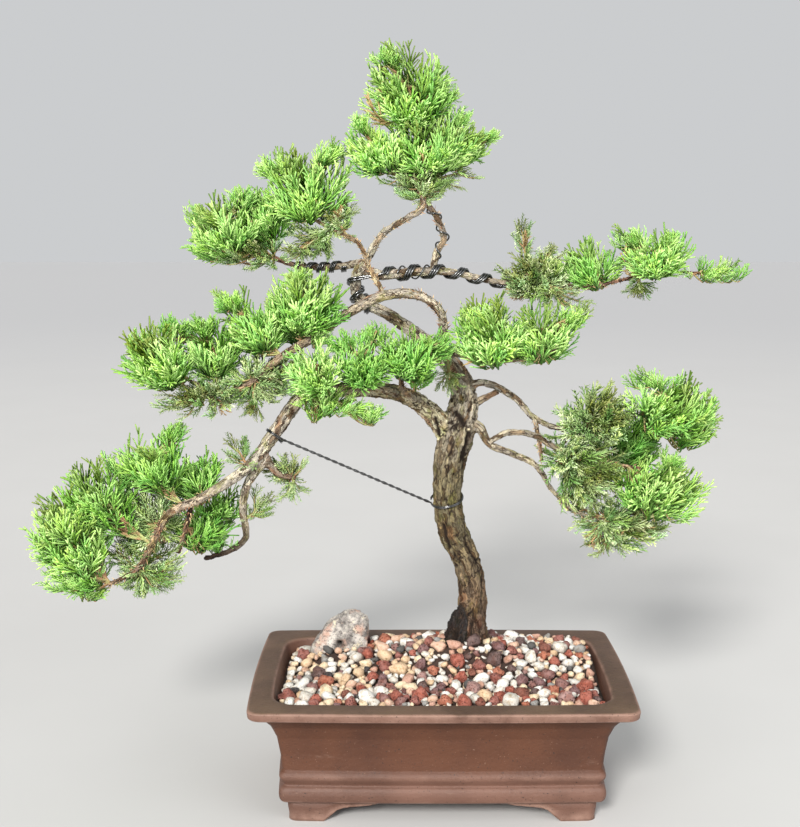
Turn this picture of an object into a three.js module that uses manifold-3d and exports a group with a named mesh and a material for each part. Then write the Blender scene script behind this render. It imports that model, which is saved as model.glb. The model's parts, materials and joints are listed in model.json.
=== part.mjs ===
// Procumbens nana juniper bonsai, wired and planted in a brown unglazed rectangular pot.
// Units are millimetres and +Z is up. Everything is laid out round the middle of the pot's foot
// plane, +X to the right and +Y away from the front. The group is shifted at the end, so that its
// origin lies at table level under the middle of the whole object.

import * as THREE from "three";
import { mergeVertices } from "three/addons/utils/BufferGeometryUtils.js";
import Module from "manifold-3d";

const wasm = await Module();
wasm.setup();

// Clear space where two pieces meet
const GAP = 0.4;

const POT = {
  length: 320,
  depth: 220,
  height: 106,
  cornerRadius: 14,
  bow: 3,
  openingLength: 280,
  openingDepth: 172,
  openingCorner: 20,
  floorTop: 27,
  drainRadius: 10,
  drainX: 70,
};

// How far the outside of the pot stands in from its rim, at each height, from the base up
const POT_PROFILE = [
  [18.5, 26],
  [21, 24],
  [31, 24],
  [33.5, 26.4],
  [35, 24.3],
  [42, 24.3],
  [44.5, 26.2],
  [76, 23.6],
  [87, 19],
  [98, 8],
  [99, 0.8],
  [105, 0],
  [106, 1.6],
];

// How far the inside of the wall stands in from the opening, at each height, from the lip down
const POT_INSIDE = [
  [106, -1],
  [104.6, 0],
  [99, 0.6],
  [84, 9],
  [66, 13],
  [31, 13],
  [27, 17],
];

// The feet are what is left of a skirt under the pot, cut by an arched gap on each side. A gap is
// given by half its width at the table, at its shoulders and at its crown.
const FEET = {
  height: 18.5,
  overlap: 2,
  outerInset: 32,
  topInset: 30,
  innerInset: 43,
  longGap: [97, 83, 52],
  shortGap: [58, 48, 30],
  toeFlare: 3,
  toeHeight: 11,
  shoulderHeight: 12.5,
  browHeight: 15,
  browWidth: 6,
};

const SCREEN = { size: 34, thickness: 1, holes: 2, bar: 3 };

const GRAVEL = {
  bottom: POT.floorTop + SCREEN.thickness + 2 * GAP,
  edgeLevel: 97,
  moundRise: 15,
  frontRise: 7,
  rockRise: 12,
  skinInset: 3,
  ringShares: [1, 0.86, 0.66, 0.44, 0.2],
  stoneSpacing: 26,
  stoneRadius: 12.5,
  stoneScatter: 6,
  wallRoom: 5,
};

const ROCK = { x: -92, y: 60, z: 113, length: 54, depth: 34, height: 46, lean: 0.12, roughness: 0.2 };

// The trunk and its limbs, as stations of x, y, z and radius from root to tip
const LIMBS = {
  trunk: {
    sides: 10,
    step: 17,
    relief: 0.09,
    route: [
      [33, 40, 66, 15],
      [33, 40, 104, 16.5],
      [29, 40, 126, 14.5],
      [30, 40, 160, 12.5],
      [25, 37, 192, 12.3],
      [12, 35, 222, 13.5],
      [7, 36, 250, 13],
      [9, 37, 286, 14.2],
      [15, 38, 310, 16],
      [21, 43, 338, 12.5],
      [17, 50, 360, 9.8],
      [-8, 57, 386, 6.8],
      [-44, 52, 413, 5.4],
      [-72, 46, 430, 5.3],
      [-74, 46, 448, 5],
      [-68, 46, 461, 4.8],
    ],
  },
  root_left: {
    sides: 6,
    step: 16,
    route: [
      [26, 38, 124, 8],
      [8, 27, 106, 6],
      [-8, 18, 92, 3],
    ],
  },
  root_right: {
    sides: 6,
    step: 16,
    route: [
      [38, 42, 120, 8],
      [57, 50, 104, 5.5],
      [68, 55, 92, 3],
    ],
  },
  charred_stub: {
    sides: 6,
    step: 16,
    route: [
      [15, 22, 94, 10],
      [16, 25, 114, 9.5],
      [20, 30, 128, 6],
      [24, 34, 142, 2.5],
    ],
  },
  left_limb: {
    sides: 6,
    step: 20,
    relief: 0.06,
    route: [
      [11, 38, 304, 11],
      [-10, 32, 331, 9],
      [-36, 21, 348, 7.2],
      [-75, 16, 352, 6.6],
      [-118, 16, 347, 6.6],
      [-142, 10, 318, 6.3],
      [-164, 4, 289, 5.2],
      [-203, -5, 263, 4.3],
      [-236, -9, 246, 3.9],
      [-249, -11, 222, 3.2],
      [-262, -11, 200, 2.8],
      [-289, -8, 184, 2],
    ],
  },
  left_sub: {
    sides: 5,
    step: 18,
    route: [
      [-150, 7, 295, 4.8],
      [-168, 13, 271, 4.2],
      [-174, 18, 245, 3.6],
      [-172, 20, 219, 3.2],
      [-186, 18, 208, 2.9],
      [-208, 14, 202, 2.2],
    ],
  },
  left_fork: {
    sides: 5,
    step: 14,
    route: [
      [-152, 7, 292, 3.9],
      [-141, 14, 278, 3.3],
      [-127, 20, 273, 2.4],
    ],
  },
  left_twig: {
    sides: 4,
    step: 16,
    route: [
      [-215, -6, 257, 2.6],
      [-222, 4, 232, 2.2],
      [-230, 8, 209, 1.8],
    ],
  },
  front_limb: {
    sides: 5,
    step: 16,
    route: [
      [-34, 21, 347, 4.4],
      [-55, 1, 356, 3.4],
      [-86, -20, 362, 2.5],
      [-108, -32, 370, 1.6],
    ],
  },
  front_right: {
    sides: 5,
    step: 16,
    route: [
      [-18, 26, 340, 3.9],
      [-32, 2, 353, 2.9],
      [-35, -22, 368, 1.8],
    ],
  },
  right_low: {
    sides: 5,
    step: 18,
    route: [
      [18, 40, 301, 7.1],
      [33, 33, 318, 4.6],
      [43, 32, 302, 3.6],
      [62, 35, 293, 3.2],
      [85, 40, 281, 2.9],
      [102, 44, 256, 2.5],
      [122, 46, 238, 2],
      [150, 48, 228, 1.5],
    ],
  },
  right_mid: {
    sides: 4,
    step: 20,
    route: [
      [43, 32, 303, 2.9],
      [58, 33, 311, 2.6],
      [84, 39, 308, 2.7],
      [98, 42, 299, 2.4],
      [130, 45, 286, 1.9],
      [180, 46, 277, 1.2],
    ],
  },
  right_high: {
    sides: 5,
    step: 20,
    route: [
      [19, 44, 346, 4.4],
      [36, 41, 355, 3.5],
      [64, 40, 343, 3.3],
      [84, 43, 323, 3],
      [107, 46, 313, 2.6],
      [140, 48, 314, 2],
      [187, 48, 330, 1.3],
    ],
  },
  right_prop: {
    sides: 5,
    step: 14,
    route: [
      [23, 44, 330, 4],
      [35, 44, 338, 3.1],
      [51, 41, 347, 2.4],
    ],
  },
  right_link: {
    sides: 4,
    step: 18,
    route: [
      [84, 43, 322, 2.2],
      [88, 42, 305, 2],
      [91, 42, 284, 1.6],
    ],
  },
  right_front: {
    sides: 5,
    step: 17,
    route: [
      [4, 22, 386, 3],
      [18, 8, 383, 2.6],
      [40, -4, 380, 2.2],
      [74, -10, 383, 1.9],
      [96, -10, 390, 1.2],
    ],
  },
  arch: {
    sides: 6,
    step: 19,
    relief: 0.05,
    route: [
      [16, 46, 354, 5.4],
      [4, 27, 382, 4.2],
      [-1, 12, 420, 4],
      [-19, 11, 434, 4.3],
      [-49, 12, 434, 4.7],
      [-80, 10, 419, 4.5],
      [-104, 5, 402, 3.9],
      [-136, 0, 383, 3.8],
      [-170, -4, 357, 3],
      [-193, -5, 353, 2.4],
      [-216, -5, 364, 1.7],
    ],
  },
  thin_rise: {
    sides: 4,
    step: 17,
    route: [
      [-49, 12, 434, 2.8],
      [-62, 30, 457, 2.4],
      [-72, 36, 478, 2.3],
      [-94, 40, 489, 2],
      [-118, 44, 502, 1.5],
    ],
  },
  right_limb: {
    sides: 5,
    step: 23,
    route: [
      [-70, 46, 457, 4.8],
      [-56, 44, 450, 4.8],
      [-25, 45, 452, 4.3],
      [7, 49, 452, 3.6],
      [49, 58, 443, 3],
      [95, 63, 439, 2.6],
      [143, 64, 440, 2.2],
      [195, 60, 451, 1.8],
      [247, 56, 449, 1.2],
    ],
  },
  left_branch: {
    sides: 5,
    step: 17,
    route: [
      [-69, 46, 460, 3.9],
      [-93, 55, 456, 3],
      [-125, 66, 456, 2.5],
      [-147, 68, 463, 2.2],
      [-172, 66, 471, 1.7],
    ],
  },
  crown_left: {
    sides: 5,
    step: 18,
    route: [
      [-67, 45, 458, 3.6],
      [-50, 37, 486, 2.9],
      [-30, 38, 499, 2.8],
      [-15, 43, 509, 2.7],
      [-21, 47, 530, 2.3],
      [-32, 48, 566, 1.7],
      [-28, 48, 600, 1.1],
    ],
  },
  crown_loop: {
    sides: 5,
    step: 16,
    route: [
      [-7, 47, 452, 3.3],
      [-3, 47, 470, 2.9],
      [3, 47, 481, 2.8],
      [-4, 47, 500, 2.8],
      [-11, 50, 512, 2.7],
      [-6, 56, 540, 2.2],
      [6, 57, 568, 1.4],
    ],
  },
};

// Black training wires. Each runs along stretches of limb: the limb, the shares of its length where
// the stretch starts and stops, and the turns of the wire there, counted from the front of the limb.
const WRAP_WIRES = {
  wire_trunk_right: {
    radius: 1.25,
    stretches: [
      { limb: "trunk", from: 0.885, to: 0.966, turns: [-2.75, 0] },
      { limb: "right_limb", from: 0.045, to: 0.375, turns: [0, 4.9] },
    ],
  },
  wire_left_branch: {
    radius: 1,
    stretches: [{ limb: "left_branch", from: 0.13, to: 0.56, turns: [0, 4] }],
  },
  wire_loop_branch: {
    radius: 0.75,
    stretches: [
      { limb: "right_limb", from: 0.083, to: 0.182, turns: [-1, 0.5] },
      { limb: "crown_loop", from: 0.075, to: 0.5, turns: [0.5, 3.5] },
    ],
  },
};

// A twisted pair of thin wires from a limb to the trunk, with a ring round each
const GUY_WIRE = {
  strandRadius: 0.55,
  twistPitch: 14,
  ringSides: 12,
  ringTurn: 0.97,
  ringRise: 2.6,
  limb: [-143, 10, 314],
  limbTangent: [-22, -6, -29],
  limbRing: 8.8,
  trunk: [8, 35, 250],
  trunkTangent: [-5, 1, 28],
  trunkRing: 15.6,
};

// Sprays of foliage: the point on the limb each grows from, the middle of its mass, how far it
// reaches along X, Y and Z, and whether its shoots are scale-leaved cords or juvenile needles
const SPRAYS = {
  apex_top: ["cord", [-24, 48, 584], [-24, 44, 616], [42, 40, 40]],
  apex_middle: ["cord", [-6, 56, 542], [-10, 46, 566], [44, 40, 36]],
  apex_left: ["cord", [-28, 48, 552], [-60, 36, 557], [32, 28, 30]],
  apex_right: ["cord", [2, 57, 560], [27, 60, 566], [28, 28, 28]],
  apex_back: ["cord", [-6, 56, 545], [-14, 90, 556], [32, 28, 30]],
  apex_low: ["needle", [-16, 45, 520], [-17, 50, 531], [36, 30, 21]],
  upper_left_top: ["cord", [-110, 42, 498], [-116, 42, 532], [43, 34, 42]],
  upper_left_outer: ["cord", [-170, 66, 471], [-194, 64, 492], [38, 40, 37]],
  upper_left_middle: ["cord", [-148, 68, 464], [-152, 78, 506], [32, 32, 30]],
  upper_left_low: ["needle", [-148, 68, 464], [-170, 58, 468], [36, 32, 17]],
  upper_left_inner: ["needle", [-80, 38, 482], [-90, 40, 498], [19, 18, 16]],
  upper_left_back: ["cord", [-150, 68, 465], [-176, 100, 488], [32, 26, 26]],
  mid_left_top: ["cord", [-120, 2, 394], [-118, 6, 432], [40, 38, 35]],
  mid_left_outer: ["cord", [-136, 0, 383], [-162, 8, 413], [32, 36, 32]],
  mid_left_back: ["cord", [-112, 4, 398], [-130, 44, 414], [34, 28, 26]],
  left_outer: ["cord", [-214, -5, 363], [-244, -10, 383], [38, 40, 37]],
  left_top: ["cord", [-190, -5, 353], [-196, 10, 393], [31, 34, 31]],
  left_low: ["needle", [-196, -5, 354], [-210, -16, 350], [46, 34, 18]],
  left_core: ["needle", [-160, -3, 365], [-154, 12, 362], [29, 34, 22]],
  centre_left: ["cord", [-98, -27, 366], [-104, -40, 381], [31, 34, 30]],
  centre_low: ["cord", [-100, -28, 366], [-88, -38, 346], [41, 22, 17]],
  centre_middle: ["cord", [-70, -10, 359], [-66, -34, 382], [26, 32, 29]],
  centre_right: ["cord", [-35, -18, 366], [-28, -28, 386], [32, 34, 31]],
  trunk_top: ["needle", [6, 24, 385], [9, 2, 356], [24, 18, 16]],
  low_left_outer: ["cord", [-287, -8, 185], [-323, -14, 234], [45, 46, 46]],
  low_left_tail: ["cord", [-286, -8, 185], [-320, -2, 186], [40, 34, 24]],
  low_left_top: ["cord", [-250, -11, 221], [-299, -4, 268], [38, 40, 34]],
  low_left_comb: ["cord", [-222, -7, 254], [-257, 0, 298], [42, 34, 29]],
  low_left_back: ["cord", [-205, -5, 262], [-215, 26, 276], [32, 34, 30]],
  low_left_inner: ["needle", [-243, -10, 236], [-266, 36, 236], [38, 36, 34]],
  low_left_bottom: ["needle", [-262, -11, 200], [-250, 6, 184], [44, 30, 20]],
  low_left_under: ["cord", [-222, 4, 232], [-204, 30, 230], [32, 28, 24]],
  low_left_sprig: ["needle", [-166, 3, 286], [-176, 4, 304], [17, 15, 15]],
  fork_sprig: ["needle", [-130, 19, 274], [-136, 28, 277], [18, 20, 21]],
  sub_sprig: ["needle", [-173, 19, 236], [-156, 26, 245], [15, 16, 16]],
  high_right_inner: ["needle", [85, 62, 440], [80, 56, 464], [38, 36, 36]],
  high_right_middle: ["cord", [143, 64, 440], [138, 72, 460], [32, 34, 29]],
  high_right_outer: ["cord", [191, 60, 450], [190, 56, 474], [37, 32, 27]],
  high_right_tip: ["cord", [222, 58, 450], [240, 57, 456], [36, 20, 15]],
  high_right_low: ["needle", [176, 61, 447], [178, 60, 438], [20, 15, 11]],
  high_right_back: ["cord", [110, 63, 439], [104, 96, 452], [34, 26, 24]],
  right_front_left: ["cord", [50, -6, 380], [40, -16, 405], [36, 38, 35]],
  right_front_right: ["cord", [84, -10, 385], [84, -4, 402], [36, 38, 33]],
  low_right_top: ["cord", [180, 48, 327], [204, 36, 337], [44, 40, 33]],
  low_right_outer: ["cord", [186, 48, 329], [232, 64, 314], [30, 32, 27]],
  low_right_inner: ["needle", [130, 48, 313], [142, 30, 328], [41, 38, 29]],
  low_right_core: ["needle", [120, 44, 289], [134, 40, 278], [40, 40, 38]],
  low_right_lower: ["cord", [168, 46, 279], [198, 44, 260], [46, 42, 35]],
  low_right_bottom: ["needle", [148, 48, 229], [178, 52, 216], [43, 34, 28]],
  low_right_back: ["cord", [140, 46, 284], [180, 92, 296], [40, 28, 36]],
};

// A spray's core is this share of its reach, and pointed shoots stand on it out to the full reach.
// Shoots lean from the core's own direction towards the way the spray grows, by their comb.
const CORE_SHARE = 0.6;
const SHOOT_COMB = { cord: 0.26, needle: 0.1 };
// Sprays that reach this far have a core of more faces, and so more shoots
const BIG_SPRAY = 42;
// A core's face that looks further down than this has no shoot
const UNDERSIDE = -0.8;
const STEM_RADIUS = 1.9;
const STEM_SAG = 2;

// The limbs that stand in the gravel
const BURIED = ["trunk", "root_left", "root_right", "charred_stub"];

const COLOURS = {
  clay: { color: "#6b4a3f", roughness: 0.5, metalness: 0 },
  gravel: { color: "#a4785f", roughness: 0.9, metalness: 0 },
  rock: { color: "#a1918b", roughness: 0.9, metalness: 0 },
  mesh: { color: "#20211f", roughness: 0.6, metalness: 0 },
  bark: { color: "#7c6c57", roughness: 0.85, metalness: 0 },
  wire: { color: "#151518", roughness: 0.4, metalness: 0.6 },
  cord: { color: "#6fa64c", roughness: 0.6, metalness: 0 },
  needle: { color: "#87a478", roughness: 0.65, metalness: 0 },
};

// A repeatable stream of random numbers from 0 to 1
function randomFrom(seed) {
  let state = seed >>> 0;
  return () => {
    state = (Math.imul(state, 1664525) + 1013904223) >>> 0;
    return state / 4294967296;
  };
}

const vector = ([x, y, z]) => new THREE.Vector3(x, y, z);

function geometryFrom(corners) {
  const values = new Float32Array(corners.length * 3);
  corners.forEach((corner, i) => corner.toArray(values, i * 3));
  return new THREE.BufferGeometry().setAttribute("position", new THREE.BufferAttribute(values, 3));
}

function toSolid(geometry) {
  const bare = geometry.index ? geometry.toNonIndexed() : geometry.clone();
  bare.deleteAttribute("normal");
  bare.deleteAttribute("uv");
  const merged = mergeVertices(bare, 1e-4);
  return new wasm.Manifold(
    new wasm.Mesh({
      numProp: 3,
      vertProperties: merged.attributes.position.array,
      triVerts: new Uint32Array(merged.index.array),
    }),
  );
}

function toGeometry(solid) {
  const mesh = solid.getMesh();
  const geometry = new THREE.BufferGeometry();
  geometry.setAttribute("position", new THREE.BufferAttribute(mesh.vertProperties, 3));
  geometry.setIndex(new THREE.BufferAttribute(mesh.triVerts, 1));
  geometry.computeVertexNormals();
  return geometry;
}

const joined = (solids) => solids.reduce((sum, solid) => sum.add(solid));

// The largest of the bodies that a cut leaves
function largest(solid) {
  return solid.decompose().reduce((best, body) => (body.volume() > best.volume() ? body : best));
}

function boxesMeet(a, b) {
  return [0, 1, 2].every((k) => a.min[k] < b.max[k] && b.min[k] < a.max[k]);
}

// A skin through a row of rings with equal numbers of points. An open row is capped at both ends.
function loft(rings, closed = false) {
  const corners = [];
  const sides = rings[0].length;
  const count = closed ? rings.length : rings.length - 1;
  for (let i = 0; i < count; i++) {
    const low = rings[i];
    const high = rings[(i + 1) % rings.length];
    for (let j = 0; j < sides; j++) {
      const k = (j + 1) % sides;
      corners.push(low[j], low[k], high[k], low[j], high[k], high[j]);
    }
  }
  if (!closed) {
    const first = rings[0];
    const last = rings[rings.length - 1];
    for (let j = 1; j < sides - 1; j++) {
      corners.push(first[0], first[j + 1], first[j]);
      corners.push(last[0], last[j], last[j + 1]);
    }
  }
  return geometryFrom(corners);
}

const curveThrough = (route) => new THREE.CatmullRomCurve3(route.map(vector), false, "centripetal");

// Stations spaced along a route of [x, y, z, radius] points, each with axes square to the route
function walk(route, count, from = 0, to = 1) {
  const curve = curveThrough(route);
  const stations = [];
  const across = new THREE.Vector3(0.31, -0.95, 0.07);
  for (let i = 0; i <= count; i++) {
    const t = curve.getUtoTmapping(THREE.MathUtils.lerp(from, to, i / count));
    const index = Math.min(t * (route.length - 1), route.length - 1 - 1e-9);
    const low = Math.floor(index);
    const radius = THREE.MathUtils.lerp(route[low][3], route[low + 1][3], index - low);
    const along = curve.getTangent(t);
    across.addScaledVector(along, -across.dot(along)).normalize();
    const side = new THREE.Vector3().crossVectors(along, across);
    stations.push({ centre: curve.getPoint(t), across: across.clone(), side, radius });
  }
  return stations;
}

function pointRound(station, angle, radius) {
  return station.centre
    .clone()
    .addScaledVector(station.across, radius * Math.cos(angle))
    .addScaledVector(station.side, radius * Math.sin(angle));
}

// A round limb with ridges of bark as high as its relief; grow thickens it all over
function limbGeometry({ route, sides, step, relief = 0 }, grow = 0) {
  const count = Math.max(2, Math.round(curveThrough(route).getLength() / step));
  const rings = walk(route, count).map((station, i) => {
    const points = [];
    for (let j = 0; j < sides; j++) {
      const angle = (2 * Math.PI * j) / sides;
      const ridge = Math.sin(3 * angle + i * 0.7) + Math.sin(5 * angle - i * 1.9);
      const radius = station.radius * (1 + (relief * ridge) / 2) + grow;
      points.push(pointRound(station, angle, radius));
    }
    return points;
  });
  return loft(rings);
}

// A plain wire of one radius through a row of points
function wireGeometry(points, radius, sides, step) {
  const route = points.map((p) => [p.x, p.y, p.z, radius]);
  return limbGeometry({ route, sides, step });
}

// A rectangle with round corners, its sides bowed outwards, at one height
function panOutline(halfLength, halfDepth, cornerRadius, bow, z) {
  const points = [];
  const sideStops = [0.33, 0.67];
  const corners = [
    [1, 1],
    [-1, 1],
    [-1, -1],
    [1, -1],
  ];
  const arcPoint = ([sx, sy], angle) =>
    new THREE.Vector3(
      sx * (halfLength - cornerRadius) + cornerRadius * Math.cos(angle),
      sy * (halfDepth - cornerRadius) + cornerRadius * Math.sin(angle),
      z,
    );
  corners.forEach((corner, i) => {
    for (const step of [0, 1, 2]) {
      points.push(arcPoint(corner, (Math.PI / 2) * (i + step / 2)));
    }
    const next = arcPoint(corners[(i + 1) % 4], (Math.PI / 2) * (i + 1));
    const last = points[points.length - 1];
    for (const stop of sideStops) points.push(last.clone().lerp(next, stop));
  });
  for (const p of points) {
    const alongLength = p.x / halfLength;
    const alongDepth = p.y / halfDepth;
    p.x += bow * alongLength * (1 - alongDepth ** 2);
    p.y += bow * alongDepth * (1 - alongLength ** 2);
  }
  return points;
}

function potOuter(inset, z) {
  const corner = Math.max(POT.cornerRadius - inset / 4, 6);
  return panOutline(POT.length / 2 - inset, POT.depth / 2 - inset, corner, POT.bow, z);
}

function potInner(shrink, z) {
  const halfLength = POT.openingLength / 2 - shrink;
  const halfDepth = POT.openingDepth / 2 - shrink;
  return panOutline(halfLength, halfDepth, POT.openingCorner, POT.bow, z);
}

// The arched gap between two feet, cut right through under the pot
function footGap([foot, shoulder, crown], through) {
  const { height, toeFlare, toeHeight, shoulderHeight, browHeight, browWidth } = FEET;
  const shape = new THREE.Shape();
  shape.moveTo(-foot, -1);
  shape.lineTo(-foot, 0);
  shape.quadraticCurveTo(-foot + toeFlare, toeHeight, -shoulder, shoulderHeight);
  shape.lineTo(-crown - browWidth, browHeight);
  shape.lineTo(-crown, height);
  shape.lineTo(crown, height);
  shape.lineTo(crown + browWidth, browHeight);
  shape.lineTo(shoulder, shoulderHeight);
  shape.quadraticCurveTo(foot - toeFlare, toeHeight, foot, 0);
  shape.lineTo(foot, -1);
  const gap = new THREE.ExtrudeGeometry(shape, { depth: through, bevelEnabled: false, curveSegments: 3 });
  return gap.translate(0, 0, -through / 2).rotateX(Math.PI / 2);
}

function makePot() {
  const outer = POT_PROFILE.map(([z, inset]) => potOuter(inset, z));
  const inner = POT_INSIDE.map(([z, inset]) => potInner(inset, z));
  const body = toSolid(loft([...outer, ...inner]));
  const top = FEET.height + FEET.overlap;
  const skirtRings = [
    potOuter(FEET.outerInset, 0),
    potOuter(FEET.topInset, top),
    potOuter(FEET.innerInset, top),
    potOuter(FEET.innerInset, 0),
  ];
  const skirt = toSolid(loft(skirtRings, true));
  const gaps = [
    footGap(FEET.longGap, POT.depth),
    footGap(FEET.shortGap, POT.length).rotateZ(Math.PI / 2),
  ];
  const feet = gaps.reduce((solid, gap) => solid.subtract(toSolid(gap)), skirt);
  const drains = [-1, 1].map((side) => {
    const drain = new THREE.CylinderGeometry(POT.drainRadius, POT.drainRadius, POT.floorTop, 16);
    return toSolid(drain.rotateX(Math.PI / 2).translate(side * POT.drainX, 0, FEET.height + 4));
  });
  return drains.reduce((solid, drain) => solid.subtract(drain), body.add(feet));
}

// A square of coarse plastic mesh that lies on the pot's floor over a drainage hole
function makeScreen(side) {
  const cell = SCREEN.size / SCREEN.holes;
  const sheet = toSolid(new THREE.BoxGeometry(SCREEN.size, SCREEN.size, SCREEN.thickness));
  const opening = new THREE.BoxGeometry(cell - SCREEN.bar, cell - SCREEN.bar, 4 * SCREEN.thickness);
  const middle = (SCREEN.holes - 1) / 2;
  let net = sheet;
  for (let i = 0; i < SCREEN.holes; i++) {
    for (let j = 0; j < SCREEN.holes; j++) {
      net = net.subtract(toSolid(opening.clone().translate((i - middle) * cell, (j - middle) * cell, 0)));
    }
  }
  return net.translate([side * POT.drainX, 0, POT.floorTop + GAP + SCREEN.thickness / 2]);
}

// A lumpy stone made by pushing the points of a ball of one radius in and out
function stoneGeometry(stone, radius, roughness, seed) {
  const place = stone.attributes.position;
  const p = new THREE.Vector3();
  for (let i = 0; i < place.count; i++) {
    p.fromBufferAttribute(place, i);
    const long = Math.sin(seed + (5.1 * p.x) / radius);
    const cross = Math.sin(seed * 2.3 + (4.3 * p.y + 3.7 * p.z) / radius);
    p.multiplyScalar(1 + (roughness * (long + cross)) / 2);
    place.setXYZ(i, p.x, p.y, p.z);
  }
  return stone;
}

function rockGeometry(grow = 0) {
  const rock = stoneGeometry(new THREE.IcosahedronGeometry(0.5, 2), 0.5, ROCK.roughness, 2.4);
  return rock
    .scale(ROCK.length + 2 * grow, ROCK.depth + 2 * grow, ROCK.height + 2 * grow)
    .rotateY(ROCK.lean)
    .translate(ROCK.x, ROCK.y, ROCK.z);
}

// The gravel lies low along the sides and back, fills up to the rim in front and mounds round the
// trunk and the rock
function gravelLevel(x, y) {
  const mound = Math.exp(-(((x - 25) / 75) ** 2) - ((y - 30) / 60) ** 2);
  const byRock = Math.exp(-(((x - ROCK.x) / 34) ** 2) - ((y - ROCK.y) / 26) ** 2);
  const front = THREE.MathUtils.smoothstep(-y, 10, 84) * (1 - 0.4 * (x / 140) ** 2);
  return GRAVEL.edgeLevel + GRAVEL.moundRise * mound + GRAVEL.rockRise * byRock + GRAVEL.frontRise * front;
}

function makeGravel(standing) {
  const edge = (inset, z) => potInner(inset + 2 * GAP, z);
  const [, , , neck, wall, , floor] = POT_INSIDE;
  const rings = [
    edge(floor[1], GRAVEL.bottom),
    edge(wall[1], GRAVEL.bottom + 4),
    edge(wall[1], wall[0]),
    edge(neck[1], neck[0]),
  ];
  for (const share of GRAVEL.ringShares) {
    const ring = edge(GRAVEL.skinInset, 0);
    for (const p of ring) {
      p.multiplyScalar(share);
      p.z = gravelLevel(p.x, p.y) - 3;
    }
    rings.push(ring);
  }
  const random = randomFrom(7);
  const stones = [];
  const { stoneRadius, stoneSpacing, stoneScatter, wallRoom } = GRAVEL;
  const across = Math.floor((POT.openingLength - 2 * stoneRadius) / stoneSpacing);
  const deep = Math.floor((POT.openingDepth - 2 * stoneRadius) / stoneSpacing);
  for (let i = 0; i <= across; i++) {
    for (let j = 0; j <= deep; j++) {
      const radius = stoneRadius * (0.8 + 0.4 * random());
      const room = 1.3 * radius + wallRoom;
      const shiftX = (random() - 0.5) * stoneScatter * Math.sin((Math.PI * i) / across);
      const shiftY = (random() - 0.5) * stoneScatter * Math.sin((Math.PI * j) / deep);
      const x = (i / across - 0.5) * (POT.openingLength - 2 * room) + shiftX;
      const y = (j / deep - 0.5) * (POT.openingDepth - 2 * room) + shiftY;
      const stone = stoneGeometry(new THREE.OctahedronGeometry(radius, 0), radius, 0.3, random() * 9);
      stone.rotateX(random() * 6).rotateZ(random() * 6).scale(1, 1, 0.8);
      stones.push(toSolid(stone.translate(x, y, gravelLevel(x, y) - 2.5)));
    }
  }
  const solid = joined([toSolid(loft(rings)), ...stones]);
  return largest(standing.reduce((rest, piece) => rest.subtract(piece), solid));
}

const woodSolids = (grow, names = Object.keys(LIMBS)) =>
  names.map((name) => toSolid(limbGeometry(LIMBS[name], grow)));

// A wire wound round its limbs in even turns, just clear of the bark
function makeWrapWire({ radius, stretches }, grow = 0) {
  const stepsPerTurn = 8;
  const clear = radius + GAP + 0.7;
  const points = [];
  for (const { limb, from, to, turns } of stretches) {
    const count = Math.round((turns[1] - turns[0]) * stepsPerTurn);
    walk(LIMBS[limb].route, count, from, to).forEach((station, i) => {
      const angle = 2 * Math.PI * (turns[0] + i / stepsPerTurn);
      points.push(pointRound(station, angle, station.radius * 1.06 + clear));
    });
  }
  const step = curveThrough(points.map((p) => p.toArray())).getLength() / (points.length - 1);
  return toSolid(wireGeometry(points, radius + grow, 4, step));
}

// Points of a ring round a limb, square to its run, whose end passes beside its start
function ringPoints(centre, tangent, radius, facing) {
  const { ringSides, ringTurn, ringRise } = GUY_WIRE;
  const along = vector(tangent).normalize();
  const out = facing.clone().addScaledVector(along, -facing.dot(along)).normalize();
  const side = new THREE.Vector3().crossVectors(along, out);
  const points = [];
  for (let i = 0; i <= ringSides; i++) {
    const angle = (2 * Math.PI * ringTurn * i) / ringSides;
    points.push(
      vector(centre)
        .addScaledVector(out, radius * Math.cos(angle))
        .addScaledVector(side, radius * Math.sin(angle))
        .addScaledVector(along, (ringRise * i) / ringSides),
    );
  }
  return points;
}

// Between its two rings the twisted pair is drawn as one bar, broad and thin by turns
function makeGuyWire(grow = 0) {
  const { limb, trunk, limbTangent, trunkTangent, limbRing, trunkRing } = GUY_WIRE;
  const { strandRadius, twistPitch } = GUY_WIRE;
  const towards = vector(trunk).sub(vector(limb)).normalize();
  const away = towards.clone().negate();
  const rings = [
    ringPoints(limb, limbTangent, limbRing, towards),
    ringPoints(trunk, trunkTangent, trunkRing, away),
  ];
  const [start, end] = rings.map((points) => points[0]);
  const count = Math.round(start.distanceTo(end) / (twistPitch / 2));
  const route = [start, end].map((point) => [...point.toArray(), strandRadius]);
  const bar = walk(route, count).map((station, i) => {
    const wide = 2 * strandRadius + grow;
    const thin = strandRadius + grow;
    const radii = i % 2 ? [wide, thin, wide, thin] : [thin, wide, thin, wide];
    return radii.map((radius, j) => pointRound(station, (Math.PI / 2) * j, radius));
  });
  const loops = rings.map((points) => {
    const step = (2 * Math.PI * limbRing) / 9;
    return toSolid(wireGeometry(points, 1.5 * strandRadius + grow, 4, step));
  });
  return [toSolid(loft(bar)), ...loops];
}

const inverse = ([x, y, z]) => new THREE.Vector3(1 / x, 1 / y, 1 / z);

function sprayParts(name) {
  const [kind, root, middle, reach] = SPRAYS[name];
  return { kind, root: vector(root), middle: vector(middle), reach: vector(reach) };
}

// True where a point lies within another spray's core or closer to it than the margin
function insideCore(point, name, margin) {
  const { middle, reach } = sprayParts(name);
  const size = reach.clone().multiplyScalar(CORE_SHARE).addScalar(margin);
  return point.clone().sub(middle).multiply(inverse(size.toArray())).length() < 1;
}

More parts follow.
